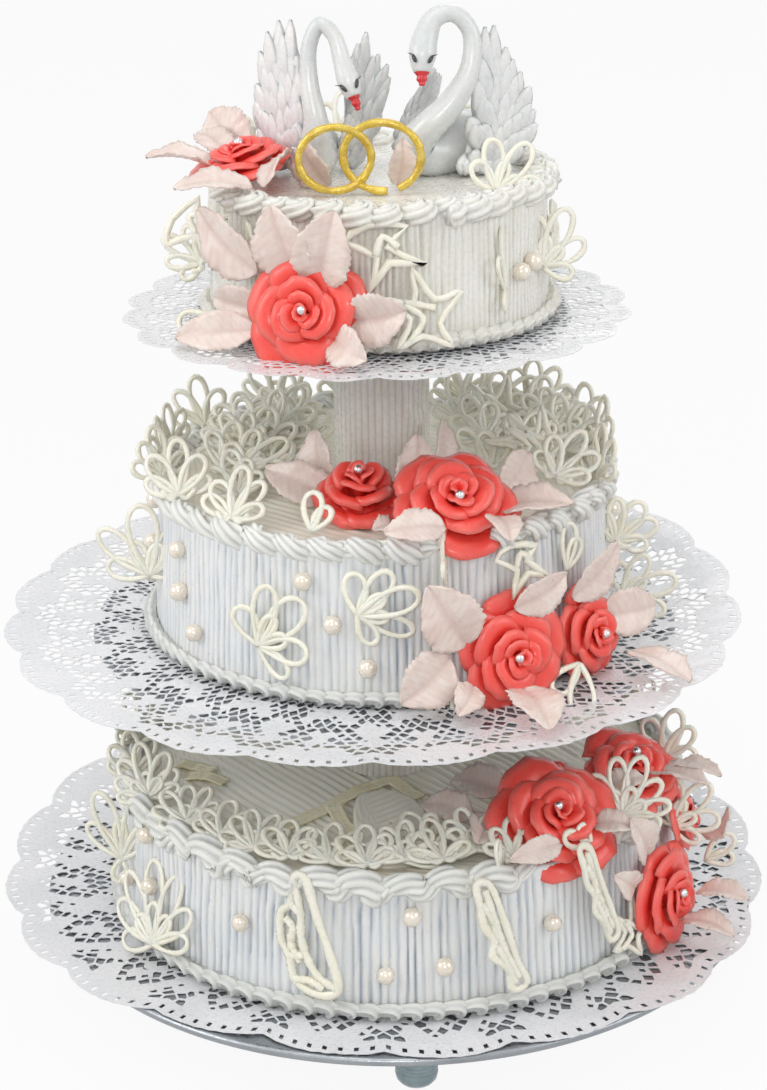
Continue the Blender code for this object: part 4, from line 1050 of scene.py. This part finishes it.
# kind, tier, azimuth, distance, height of the base point, azimuth and elevation that it faces, spin, size
LACE = [
    ("wing", "t", 322, 80, 484, 292, 18, -34, 0.74), ("wing", "t", 336, 97, 440, 284, 10, -18, 0.72),
    ("tall", "t", 314, 96, 436, 352, 4, -8, 0.72), ("zigzag", "t", 271, 102, 462, 268, 12, 20, 1.15),
    ("star", "t", 283, 104, 424, 279, 16, 38, 1.08), ("zigzag", "t", 203, 104, 462, 254, 5, 60, 1.15),
    ("fan", "t", 192, 100, 440, 262, 5, 60, 0.80),
    ("loops", "t", 205, 104, 416, 240, 10, 150, 1.3), ("loops", "t", 143, 92, 488, 262, 10, 20, 0.75),
    ("star", "t", 224, 99, 456, 224, 5, -20, 0.7), ("fan", "t", 80, 98, 440, 80, 5, 0, 1.0),
    ("wing", "t", 30, 98, 436, 30, 5, 15, 0.8), ("fan", "t", 130, 98, 438, 130, 5, -10, 1.0),
    ("star", "t", 55, 98, 455, 55, 5, 20, 0.8), ("fan", "t", 60, 84, 487, 240, 25, 5, 0.9),
    ("fan", "t", 105, 84, 487, 285, 25, -8, 0.9), ("wing", "t", 165, 99, 440, 165, 6, 10, 0.75),
    ("fan", "t", 0, 98, 442, 350, 5, 0, 0.9),
    # middle tier: fans along the rim
    ("fan", "m", 147, 127, 316, 276, 6, 6, 1.0), ("fan7", "m", 121, 127, 315, 268, 6, 0, 0.92),
    ("fan", "m", 100, 128, 316, 272, 4, 4, 1.0),
    ("fan", "m", 66, 127, 316, 262, 6, 3, 1.0), ("fan7", "m", 44, 127, 316, 270, 6, -3, 1.0),
    ("fan", "m", 22, 127, 316, 235, 6, -6, 1.0), ("fan", "m", 6, 126, 316, 205, 6, 0, 1.05),
    ("fan", "m", 344, 126, 316, 208, 10, 6, 1.0), ("fan", "m", 179, 127, 316, 350, 6, 0, 0.9),
    ("fan", "m", 166, 127, 316, 330, 6, 0, 0.9),
    ("fan", "m", 207, 127, 317, 262, 22, 5, 1.05), ("fan", "m", 230, 127, 318, 262, 40, -4, 1.0),
    ("loops", "m", 252, 124, 318, 262, 35, 0, 0.95), ("fan", "m", 190, 127, 316, 300, 18, 0, 0.95),
    # lying fans on the left and the heap on the right
    ("fan7", "m", 150, 92, 314, 272, 46, 12, 1.0), ("fan", "m", 166, 74, 314, 270, 46, -14, 1.05),
    ("fan7", "m", 138, 62, 314, 262, 50, 30, 0.95), ("fan", "m", 186, 92, 315, 280, 44, -20, 1.0),
    ("fan", "m", 198, 66, 315, 268, 50, 18, 1.0), ("fan7", "m", 128, 96, 314, 268, 40, 0, 0.9),
    ("fan", "m", 212, 96, 315, 262, 50, 20, 0.95),
    ("fan7", "m", 60, 96, 314, 262, 44, -12, 1.0), ("star", "m", 40, 84, 322, 262, 48, 10, 1.05),
    ("fan", "m", 18, 92, 315, 255, 44, -30, 1.05), ("star", "m", 352, 84, 324, 258, 46, 60, 0.95),
    ("fan7", "m", 8, 108, 316, 250, 40, 16, 1.0), ("fan", "m", 336, 106, 320, 258, 38, -24, 1.0),
    ("wing", "m", 30, 106, 318, 258, 50, 10, 0.75), ("fan", "m", 350, 62, 315, 262, 48, 40, 0.95),
    ("wing", "m", 158, 84, 320, 266, 55, 30, 0.70), ("star", "m", 172, 88, 322, 268, 55, -20, 1.0),
    ("fan", "m", 145, 78, 322, 266, 50, -30, 1.0), ("fan7", "m", 178, 80, 320, 272, 52, 24, 0.9),
    ("wing", "m", 194, 82, 320, 268, 50, -40, 0.65), ("fan", "m", 30, 70, 318, 262, 50, 24, 1.0),
    ("wing", "m", 46, 100, 322, 262, 50, -24, 0.70), ("fan", "m", 2, 78, 320, 258, 50, -16, 1.0),
    ("fan7", "m", 22, 108, 320, 255, 45, 14, 0.9), ("star", "m", 345, 92, 326, 262, 45, 30, 1.0),
    # middle tier: on the side and beside the roses
    ("wing", "m", 240, 137, 252, 246, 4, -35, 0.92), ("wing", "m", 264, 136, 276, 268, 4, -62, 0.80),
    ("tall", "m", 284, 134, 288, 352, 2, -10, 0.70), ("zigzag", "m", 303, 136, 292, 300, 20, 10, 0.95),
    ("loops", "m", 317, 137, 284, 318, 10, -10, 1.15), ("wing", "m", 196, 139, 262, 268, 4, 15, 0.95),
    ("loops", "m", 284, 138, 236, 284, 6, 160, 1.2), ("fan", "m", 345, 137, 278, 262, 8, -35, 0.95),
    ("wing", "m", 350, 140, 240, 262, 10, -60, 0.72), ("loops", "m", 312, 158, 238, 280, 30, 170, 1.3),
    ("wing", "m", 20, 137, 262, 20, 5, 12, 0.9), ("wing", "m", 50, 137, 258, 50, 5, -12, 0.9),
    ("fan", "m", 95, 136, 262, 95, 5, 8, 1.0), ("wing", "m", 130, 137, 256, 130, 5, -8, 0.9),
    ("fan", "m", 160, 136, 258, 160, 5, 5, 1.0), ("star", "m", 75, 136, 262, 75, 5, 5, 0.9),
    # lowest tier: rim
    ("fan7", "b", 203, 158, 133, 262, 40, 12, 0.9), ("fan", "b", 192, 159, 133, 290, 30, 0, 0.9),
    ("fan7", "b", 219, 155, 134, 262, 66, 10, 0.82), ("fan", "b", 229, 153, 134, 264, 70, -4, 0.95),
    ("fan7", "b", 238, 153, 134, 266, 72, 4, 0.85), ("fan", "b", 246, 152, 134, 262, 70, 8, 0.98),
    ("fan7", "b", 255, 150, 134, 268, 72, -6, 0.85), ("fan", "b", 263, 151, 134, 270, 70, 4, 0.98),
    ("fan7", "b", 271, 147, 135, 276, 68, -8, 0.88), ("fan", "b", 279, 149, 135, 276, 70, 8, 0.98),
    ("fan7", "b", 287, 144, 136, 280, 66, 4, 0.85), ("fan", "b", 277, 128, 135, 276, 72, 20, 0.9),
    ("fan", "b", 293, 158, 134, 284, 60, -12, 0.85), ("fan", "b", 175, 158, 134, 320, 10, 0, 1.0),
    ("fan", "b", 160, 158, 134, 310, 10, 0, 1.0), ("fan7", "b", 140, 158, 134, 290, 10, 4, 1.0),
    ("fan", "b", 120, 158, 134, 280, 10, -4, 1.0), ("fan7", "b", 100, 158, 134, 270, 10, 0, 1.0),
    ("fan", "b", 80, 158, 134, 260, 10, 0, 1.0), ("fan7", "b", 60, 158, 134, 250, 10, 6, 1.0),
    ("fan", "b", 40, 158, 134, 230, 10, 0, 1.0), ("fan", "b", 20, 158, 134, 210, 10, 0, 1.0),
    ("loops", "b", 289, 165, 134, 340, 5, 0, 0.75), ("fan7", "b", 322, 160, 136, 262, 25, -18, 1.0),
    ("wing", "b", 340, 170, 108, 262, 14, -30, 0.72), ("loops", "b", 345, 188, 80, 262, 10, -40, 1.0),
    ("fan", "b", 347, 160, 140, 255, 8, -8, 1.05), ("loops", "b", 309, 168, 134, 300, 20, 60, 0.8),
    # lowest tier: side
    ("tall", "b", 198, 172, 88, 262, 4, 10, 0.95), ("fan7", "b", 217, 178, 62, 222, 20, 18, 1.45),
    ("butterfly", "b", 259, 180, 72, 252, 8, 2, 1.18), ("shard", "b", 293, 178, 68, 300, 6, 0, 1.12),
    ("shard", "b", 314, 177, 78, 318, 6, 0, 1.05), ("star", "b", 318, 176, 66, 314, 10, 15, 0.85),
    ("wing", "b", 10, 170, 90, 10, 5, 10, 1.0), ("wing", "b", 45, 170, 90, 45, 5, -10, 1.0),
    ("fan7", "b", 75, 170, 84, 75, 5, 0, 1.2), ("wing", "b", 110, 170, 90, 110, 5, 12, 1.0),
    ("fan7", "b", 145, 170, 84, 145, 5, -8, 1.2), ("wing", "b", 172, 170, 92, 180, 5, 10, 1.0),
]


STRAND = {"butterfly": 0.0027, "shard": 0.0025, "star": 0.0020, "zigzag": 0.0022}


def make_lace():
    soups = {"t": Soup(), "m": Soup(), "b": Soup()}
    for n, (kind, tier, az, dist, height, faz, fel, spin, size) in enumerate(LACE):
        rng = np.random.RandomState(500 + n)
        turn = turn_to(facing(faz, fel), spin)
        place = np.array(at(tier, az, dist, height))
        bend = rng.uniform(-0.006, 0.006)
        for path, closed in lace_paths(kind, rng):
            p = path * size * MM
            if not closed:
                p = spline(p, 4)
            p[:, 2] = bend * (p[:, 0] / 0.03) ** 2 + rng.uniform(-0.0006, 0.0006)
            wob = waves(np.arange(len(p)) * 0.8, 600 + n)
            rad = STRAND.get(kind, 0.0017) * (1 + 0.20 * wob)
            v, q, t = sweep(p, rad, sides=5, closed=closed, fixed=True, flat=0.70)
            soups[tier].add(v @ turn.T + place, q, t)
    for tier, soup in soups.items():
        soup.build("lace_" + {"t": "top", "m": "middle", "b": "base"}[tier], M["lace"], "white_chocolate")


make_lace()

# ------------------------------------------------------------------ pearls
PEARLS = [
    ("t", 321, 443), ("t", 328, 446), ("t", 60, 440), ("t", 72, 452), ("t", 150, 445), ("t", 20, 430),
    ("m", 251, 292), ("m", 258, 269), ("m", 266, 245), ("m", 211, 289), ("m", 212, 265), ("m", 219, 246),
    ("m", 175, 290), ("m", 180, 268), ("m", 178, 246), ("m", 140, 288), ("m", 147, 266), ("m", 110, 270),
    ("m", 85, 286), ("m", 62, 262), ("m", 35, 284), ("m", 40, 258), ("m", 5, 280),
    ("b", 238, 95), ("b", 272, 111), ("b", 267, 76), ("b", 278, 80), ("b", 300, 94), ("b", 209, 118),
    ("b", 211, 88), ("b", 198, 75), ("b", 183, 112), ("b", 160, 95), ("b", 155, 112), ("b", 130, 80),
    ("b", 125, 108), ("b", 95, 112), ("b", 90, 78), ("b", 60, 108), ("b", 30, 104), ("b", 26, 74), ("b", 0, 100),
]
soup = Soup()
for n, (tier, az, z) in enumerate(PEARLS):
    T = TIERS[tier]
    f = (z * MM - T["z0"]) / (T["z1"] - T["z0"])
    r = T["r0"] + (T["r1"] - T["r0"]) * f
    ball(soup, at(tier, az, r / MM + 2.6, z), 0.0052 * (1 + 0.05 * math.sin(n * 2.7)), 12)
soup.build("sugar_pearls", M["pearl"], "white_chocolate")

# ------------------------------------------------------------------ ribbons and the combed slab
RIBBONS = {
    "ribbon_curved": ([(234, 126), (237, 96), (241, 66), (249, 44), (262, 36), (274, 45), (281, 60)], 9.0),
    "ribbon_straight": ([(241, 78), (249, 92), (255, 106), (258, 118)], 9.5),
    "ribbon_band_1": ([(184, 132), (186, 122), (190, 112)], 9.0),
    "ribbon_band_2": ([(191, 128), (193, 118), (198, 108)], 9.0),
}
for n, (name, (pts, width)) in enumerate(RIBBONS.items()):
    line = spline([list(at("b", a, d, 0))[:2] for a, d in pts], 10)
    t = np.gradient(line, axis=0)
    t /= np.linalg.norm(t, axis=1, keepdims=True)
    side = np.stack([-t[:, 1], t[:, 0]], -1)
    u = np.linspace(-1, 1, 9)
    half = width / 2 * MM * (1 + 0.05 * waves(np.arange(len(line)) * 0.4, 40 + n))
    z = TIERS["b"]["z1"] + 0.0026 + 0.0009 * waves(np.arange(len(line)) * 0.35, 70 + n)
    xy = line[:, None, :] + side[:, None, :] * (half[:, None] * u[None])[..., None]
    cup = 0.0007 * np.abs(u) ** 4 + 0.00025 * np.cos(u * 9)
    G = np.concatenate([xy, (z[:, None] + cup[None])[..., None]], -1)
    v, q = sheet(G, -0.0014)
    s = Soup()
    s.add(v, q)
    s.build(name + "_piped", M["ribbon"], "white_chocolate", [name])

PANEL = [(247, 62), (262, 50), (275, 58), (281, 74), (280, 100), (276, 124), (271, 140), (263, 140), (259, 122),
         (254, 96)]
rim = spline([list(at("b", a, d, 0))[:2] for a, d in PANEL], 6, closed=True)
mid = rim.mean(0)
rings = np.linspace(0, 1, 30)[1:]
XY = mid + (rim - mid)[None] * rings[:, None, None]
dirx, diry = math.cos(math.radians(-52)), math.sin(math.radians(-52))
across = XY[..., 0] * dirx + XY[..., 1] * diry
ph = across / 0.0055 * TAU + waves(XY[..., 0] * 60, 8, y=XY[..., 1] * 60) * 0.5
edge = np.clip((1 - rings) / 0.10, 0, 1)[:, None]
h = 0.0044 * np.sqrt(np.clip(edge * (2 - edge), 0, 1)) + 0.0010 * (np.abs(np.sin(ph / 2)) - 0.6) * edge
V = np.concatenate([XY, (TIERS["b"]["z1"] + 0.0006 + h)[..., None]], -1)
s = Soup()
nr, nc = V.shape[:2]
vv = np.concatenate([V.reshape(-1, 3), [[mid[0], mid[1], TIERS["b"]["z1"] + 0.0048]]])
k = np.arange(nc)
# the tint is painted shade in the troughs of the combed panel
s.add(vv, grid_faces(nr, nc, wrap_cols=True), np.stack([np.full(nc, nr * nc), k, (k + 1) % nc], -1),
      tint=np.append(np.clip(0.5 - np.abs(np.sin(ph / 2)), 0, 1).reshape(-1), 0))
s.build("cream_panel_combed", M["cream_top"], "icing", ["cream_panel"])

# ------------------------------------------------------------------ rings
RINGS = [(-0.0235, 0.0181, 0.0195, 0.10), (0.0020, 0.0190, 0.0210, -0.12)]
s = Soup()
for n, (x, z, R, turn) in enumerate(RINGS):
    a = np.linspace(0, TAU, 90, endpoint=False) - math.pi / 2
    if n == 1:
        a = np.linspace(-math.pi / 2 + 0.02, 1.5 * math.pi - 0.30, 86) + 0.42
    dx = R * np.cos(a) * (1 + 0.03 * waves(a, 5 + n))
    P = np.stack([UPPER_X + x + dx * math.cos(turn), -0.043 + dx * math.sin(turn),
                  TIERS["t"]["z1"] + 0.0022 + z + 0.88 * R * np.sin(a)], -1)
    rad = 0.0022 * (1 + 0.16 * waves(a * 4, 15 + n) + 0.07 * waves(a * 15, 25 + n))
    v, q, t = sweep(P, rad, sides=12, closed=(n == 0), hint=(0, 1, 0))
    s.add(v, q, t, tint=np.clip(0.4 * waves(np.arange(len(v)) * 0.02, 9 + n), 0, 1))
s.build("rings_gold", M["gold"], "gold_icing", ["rings"])

# ------------------------------------------------------------------ birds
BIRD_LEFT = [
    (-38, 46, 490, 4), (-38, 34, 496, 11), (-36, 18, 496, 15.0), (-35, 4, 493, 12.5), (-34, -5, 501, 9.5),
    (-34, -8, 516, 6.6), (-37, -4, 534, 5.2), (-37, -1, 553, 4.4), (-31, -1, 566, 4.2), (-23, -4, 560, 4.2),
    (-19, -7, 547, 5.0), (-15.5, -10, 536, 6.2), (-12.5, -13, 528, 4.0), (-10.5, -15, 522, 1.4),
]
BIRD_RIGHT = [
    (62, 44, 490, 4), (54, 34, 497, 13), (42, 18, 498, 17), (29, 5, 494, 13.5), (20, -5, 500, 10.5),
    (28, -11, 512, 8.6),
    (40, -10, 524, 7.4), (50, -6, 541, 5.8), (51, -3, 560, 4.8), (42, -3, 571, 4.8), (31, -5, 569, 5.6),
    (26, -8, 559, 7.0), (24.5, -12, 550, 7.4), (24, -16, 541, 4.2), (24, -18.5, 535.5, 1.6),
]


def bird(name, stations, node):
    rows = np.array([[x * MM + UPPER_X, y * MM, z * MM, r * MM] for x, y, z, r in stations])
    line = spline(rows, 8)
    cut = int(len(line) * (len(rows) - 2.15) / (len(rows) - 1))
    s = Soup()
    s.add(*sweep(line[: cut + 1, :3], np.maximum(line[: cut + 1, 3], 0.0008), sides=24))
    obj = s.build(name + "_body", M["bird"], "bird_sugar", [node])
    # beak: the last stretch, flattened and a little knobbed
    tail = line[cut - 1:]
    tail = np.concatenate([tail, tail[-1:] + (tail[-1:] - tail[-3:-2]) * 0.15])
    rad = np.linspace(tail[0, 3] * 0.80, 0.0011, len(tail)) * (1 + 0.16 * np.sin(np.arange(len(tail)) * 1.5))
    b = Soup()
    b.add(*sweep(tail[:, :3], rad, sides=14, flat=0.8))
    b.build(name + "_beak", M["beak"], "rose_icing")
    # eyes on both sides of the head, long and slanted, with two lashes each
    head = line[int(cut - 5)]
    ahead = (line[cut - 2, :3] - line[cut - 8, :3])
    ahead /= np.linalg.norm(ahead)
    view_side = np.array((0.0, -1.0, 0.25))
    view_side -= ahead * view_side.dot(ahead)
    view_side /= np.linalg.norm(view_side)
    lateral = np.cross(ahead, view_side)
    e = Soup()
    for sign in (-1, 1):
        out = view_side * 0.80 + lateral * sign * 0.66
        out /= np.linalg.norm(out)
        centre = head[:3] + out * head[3] * 0.97
        slant = ahead * -0.75 + lateral * sign * 0.55
        slant -= out * slant.dot(out)
        slant /= np.linalg.norm(slant)
        t = np.linspace(-1, 1, 11)
        path = centre + slant * (t * 0.0029)[:, None] + out * (0.0004 - 0.0003 * t ** 2)[:, None]
        e.add(*sweep(path, 0.0012 * np.sqrt(np.clip(1 - t ** 2, 0.02, 1)), sides=8))
        for k in (0.1, 0.9):
            st = centre + slant * (0.0014 + 0.0004 * k) + out * 0.0004
            t2 = np.linspace(0, 1, 5)[:, None]
            lash = st + (slant * 0.8 + lateral * sign * (0.3 + k * 0.8)) * 0.0022 * t2 + out * 0.0003 * t2
            e.add(*sweep(lash, np.linspace(0.00035, 0.00012, 5), sides=5))
    e.build(name + "_eyes", M["eye"], "bird_sugar")
    return obj


bird("bird_left", BIRD_LEFT, "bird_left")
bird("bird_right", BIRD_RIGHT, "bird_right")

WINGS = {
    "wing_left_outer": ((-52, 14, 484), [(-43, -2, 497), (-42, 0, 520), (-42, 6, 543), (-47, 12, 568), (-59, 18, 558),
                                         (-67, 22, 536), (-68, 24, 510), (-60, 24, 494)]),
    "wing_left_inner": ((-19, 22, 484), [(-22, 6, 496), (-18, 6, 512), (-12, 8, 530), (-14, 14, 552), (-6, 22, 556),
                                         (4, 28, 541), (4, 28, 520), (-8, 28, 498)]),
    "wing_right_outer": ((58, 8, 483), [(40, -12, 485), (50, -8, 520), (56, -4, 548), (59, 2, 566), (70, 8, 552),
                                        (78, 12, 540), (86, 14, 526), (88, 14, 508), (76, 10, 489)]),
    "wing_right_inner": ((12, 26, 484), [(10, 18, 492), (12, 20, 508), (20, 22, 524), (32, 26, 538), (34, 34, 530),
                                         (28, 38, 510), (20, 36, 494)]),
}


def feather(soup, start, end, normal, width, lift):
    along = end - start
    length = np.linalg.norm(along)
    if length < 1e-4:
        return
    along = along / length
    side = np.cross(along, normal)
    side /= np.linalg.norm(side)
    nn = np.cross(side, along)
    v = np.linspace(0, 1, 11)
    u = np.linspace(-1, 1, 6)
    U, V = np.meshgrid(u, v)
    w = width / 2 * (0.35 + 0.65 * np.sin(np.clip(V * 1.25, 0, 1) * math.pi * 0.62))
    w = w * np.clip(1 - V ** 4, 0.03, 1) ** 0.7
    curve = 0.04 * length * np.sin(V * math.pi * 0.9)
    h = lift + 0.0022 * (1 - U ** 2) + curve - 0.0006 * np.exp(-(U / 0.2) ** 2)
    h = h + 0.00018 * np.sin(V * 40 + np.abs(U) * 7)
    bend = U * w + 0.06 * width * np.sin(V * 3)
    G = start + along * (length * V)[..., None] + side * bend[..., None] + nn * h[..., None]
    # painted shade: darker at the feather edges and in the gaps between them, at the covered base and along the sunken
    # shaft
    tint = np.clip(np.abs(U) ** 6 * 0.9 + 0.7 * (1 - V) ** 2 + 0.25 * np.exp(-(U / 0.15) ** 2), 0, 1) * 0.8
    vv, q = sheet(G, 0.0016)
    soup.add(vv, q, tint=np.concatenate([tint.reshape(-1)] * 2))


def wing(name, spec, seed):
    root, edge = spec
    hub = np.array([root[0] * MM + UPPER_X, root[1] * MM, root[2] * MM])
    rim = spline([[x * MM + UPPER_X, y * MM, z * MM] for x, y, z in edge], 8)
    nrm = np.linalg.svd(rim - rim.mean(0))[2][2]
    if nrm[1] > 0:
        nrm = -nrm
    rng = np.random.RandomState(seed)
    s = Soup()
    n = len(rim)
    # far row first, then nearer and shorter rows laid over it
    for reach, count, width, lift in (
        (1.0, 13, 0.0135, 0.0), (0.88, 12, 0.0130, 0.0012), (0.74, 10, 0.0125, 0.0024), (0.60, 8, 0.0120, 0.0036),
         (0.45, 6, 0.0110, 0.0047), (0.30, 4, 0.0100, 0.0056),
    ):
        for k in range(count):
            f = (k + 0.5 + rng.uniform(-0.15, 0.15)) / count
            tip = rim[int(f * (n - 1))]
            tip = hub + (tip - hub) * reach * rng.uniform(0.94, 1.03)
            base = hub + (tip - hub) * (0.45 if reach > 0.5 else 0.15)
            feather(s, base, tip, nrm, width * rng.uniform(0.9, 1.1), lift + 0.0003 * (k % 2))
    # a body under the feathers
    core = hub + (rim - hub) * 0.72
    v = np.concatenate([core + nrm * 0.0004, [hub + nrm * 0.003], core - nrm * 0.0022, [hub - nrm * 0.003]])
    k = np.arange(n - 1)
    t1 = np.stack([np.full(n - 1, n), k, k + 1], -1)
    t2 = np.stack([np.full(n - 1, 2 * n + 1), k + 1 + n + 1, k + n + 1], -1)
    q = np.stack([k, k + n + 1, k + n + 2, k + 1], -1)
    s.add(v, q, np.concatenate([t1, t2]))
    return s.build(name + "_feathers", M["feather"], "bird_sugar", [name])


for n, (name, spec) in enumerate(WINGS.items()):
    wing(name, spec, 700 + 20 * n)


# ------------------------------------------------------------------ studio
def seen_ray(tree, path):
    """1 for a ray that shows the background: straight from the camera, or by way of a reflection."""
    either = add_node(tree, "Math")
    either.operation = "MAXIMUM"
    tree.links.new(path.outputs["Is Camera Ray"], either.inputs[0])
    tree.links.new(path.outputs["Is Glossy Ray"], either.inputs[1])
    return either.outputs[0]


def stage_material(name, colour, glow):
    mat = bpy.data.materials.new(name)
    mat.use_nodes = True
    nt = mat.node_tree
    bsdf = nt.nodes["Principled BSDF"]
    bsdf.inputs["Base Color"].default_value = (*colour, 1)
    bsdf.inputs["Roughness"].default_value = 0.9
    bsdf.inputs["Specular IOR Level"].default_value = 0.1
    out = nt.nodes["Material Output"]
    path = add_node(nt, "LightPath")
    emit = add_node(nt, "Emission", {"Color": (1, 1, 1, 1), "Strength": 1.0})
    mixer = add_node(nt, "MixShader")
    scale = add_node(nt, "Math", {1: glow})
    scale.operation = "MULTIPLY"
    nt.links.new(seen_ray(nt, path), scale.inputs[0])
    nt.links.new(scale.outputs[0], mixer.inputs[0])
    nt.links.new(bsdf.outputs[0], mixer.inputs[1])
    nt.links.new(emit.outputs[0], mixer.inputs[2])
    nt.links.new(mixer.outputs[0], out.inputs["Surface"])
    return mat


floor = bpy.data.meshes.new("floor")
floor.from_pydata([(-30, -30, 0), (30, -30, 0), (30, 30, 0), (-30, 30, 0)], [], [(0, 1, 2, 3)])
floor.materials.append(stage_material("floor_white", (0.75, 0.75, 0.75), 0.92))
floor_obj = bpy.data.objects.new("floor", floor)
bpy.context.scene.collection.objects.link(floor_obj)

world = bpy.data.worlds.new("studio")
bpy.context.scene.world = world
world.use_nodes = True
nt = world.node_tree
bg = nt.nodes["Background"]
bg.inputs["Color"].default_value = (1, 1, 1, 1)
bg.inputs["Strength"].default_value = 0.53
white = add_node(nt, "Background", {"Color": (1, 1, 1, 1), "Strength": 1.0})
lp = add_node(nt, "LightPath")
mx = add_node(nt, "MixShader")
nt.links.new(seen_ray(nt, lp), mx.inputs[0])
nt.links.new(bg.outputs[0], mx.inputs[1])
nt.links.new(white.outputs[0], mx.inputs[2])
nt.links.new(mx.outputs[0], nt.nodes["World Output"].inputs["Surface"])


def lamp(name, where, target, size, power):
    light = bpy.data.lights.new(name, "AREA")
    light.shape = "DISK"
    light.size = size
    light.energy = power
    obj = bpy.data.objects.new(name, light)
    obj.location = where
    obj.rotation_euler = (Vector(target) - Vector(where)).to_track_quat("-Z", "Y").to_euler()
    bpy.context.scene.collection.objects.link(obj)


# name, place, target, size in metres, watts
lamp("key", (-0.12, -2.0, 1.25), (0, 0, 0.28), 0.36, 7)
lamp("top", (-0.25, -0.6, 2.2), (0, 0, 0.3), 1.3, 9)
lamp("left", (-1.5, -0.6, 1.15), (0, 0, 0.22), 1.0, 9.5)
lamp("right", (1.5, -0.7, 1.15), (0, 0, 0.22), 1.0, 7)
lamp("back", (0.4, 1.7, 1.8), (0, 0, 0.3), 1.2, 5)

cam = bpy.data.cameras.new("camera")
cam.lens = 81.7
cam.sensor_width = 36.0
cam.sensor_fit = "AUTO"
cam_obj = bpy.data.objects.new("camera", cam)
cam_obj.location = (0.003, -1.37095, 0.782)
cam_obj.rotation_mode = "QUATERNION"
cam_obj.rotation_quaternion = (
    Matrix.Rotation(math.radians(90 - 21.0), 3, "X") @ Matrix.Rotation(math.radians(-0.75), 3, "Z")
).to_quaternion()
bpy.context.scene.collection.objects.link(cam_obj)
bpy.context.scene.camera = cam_obj
bpy.context.scene.view_settings.view_transform = "Standard"

bpy.context.view_layer.update()
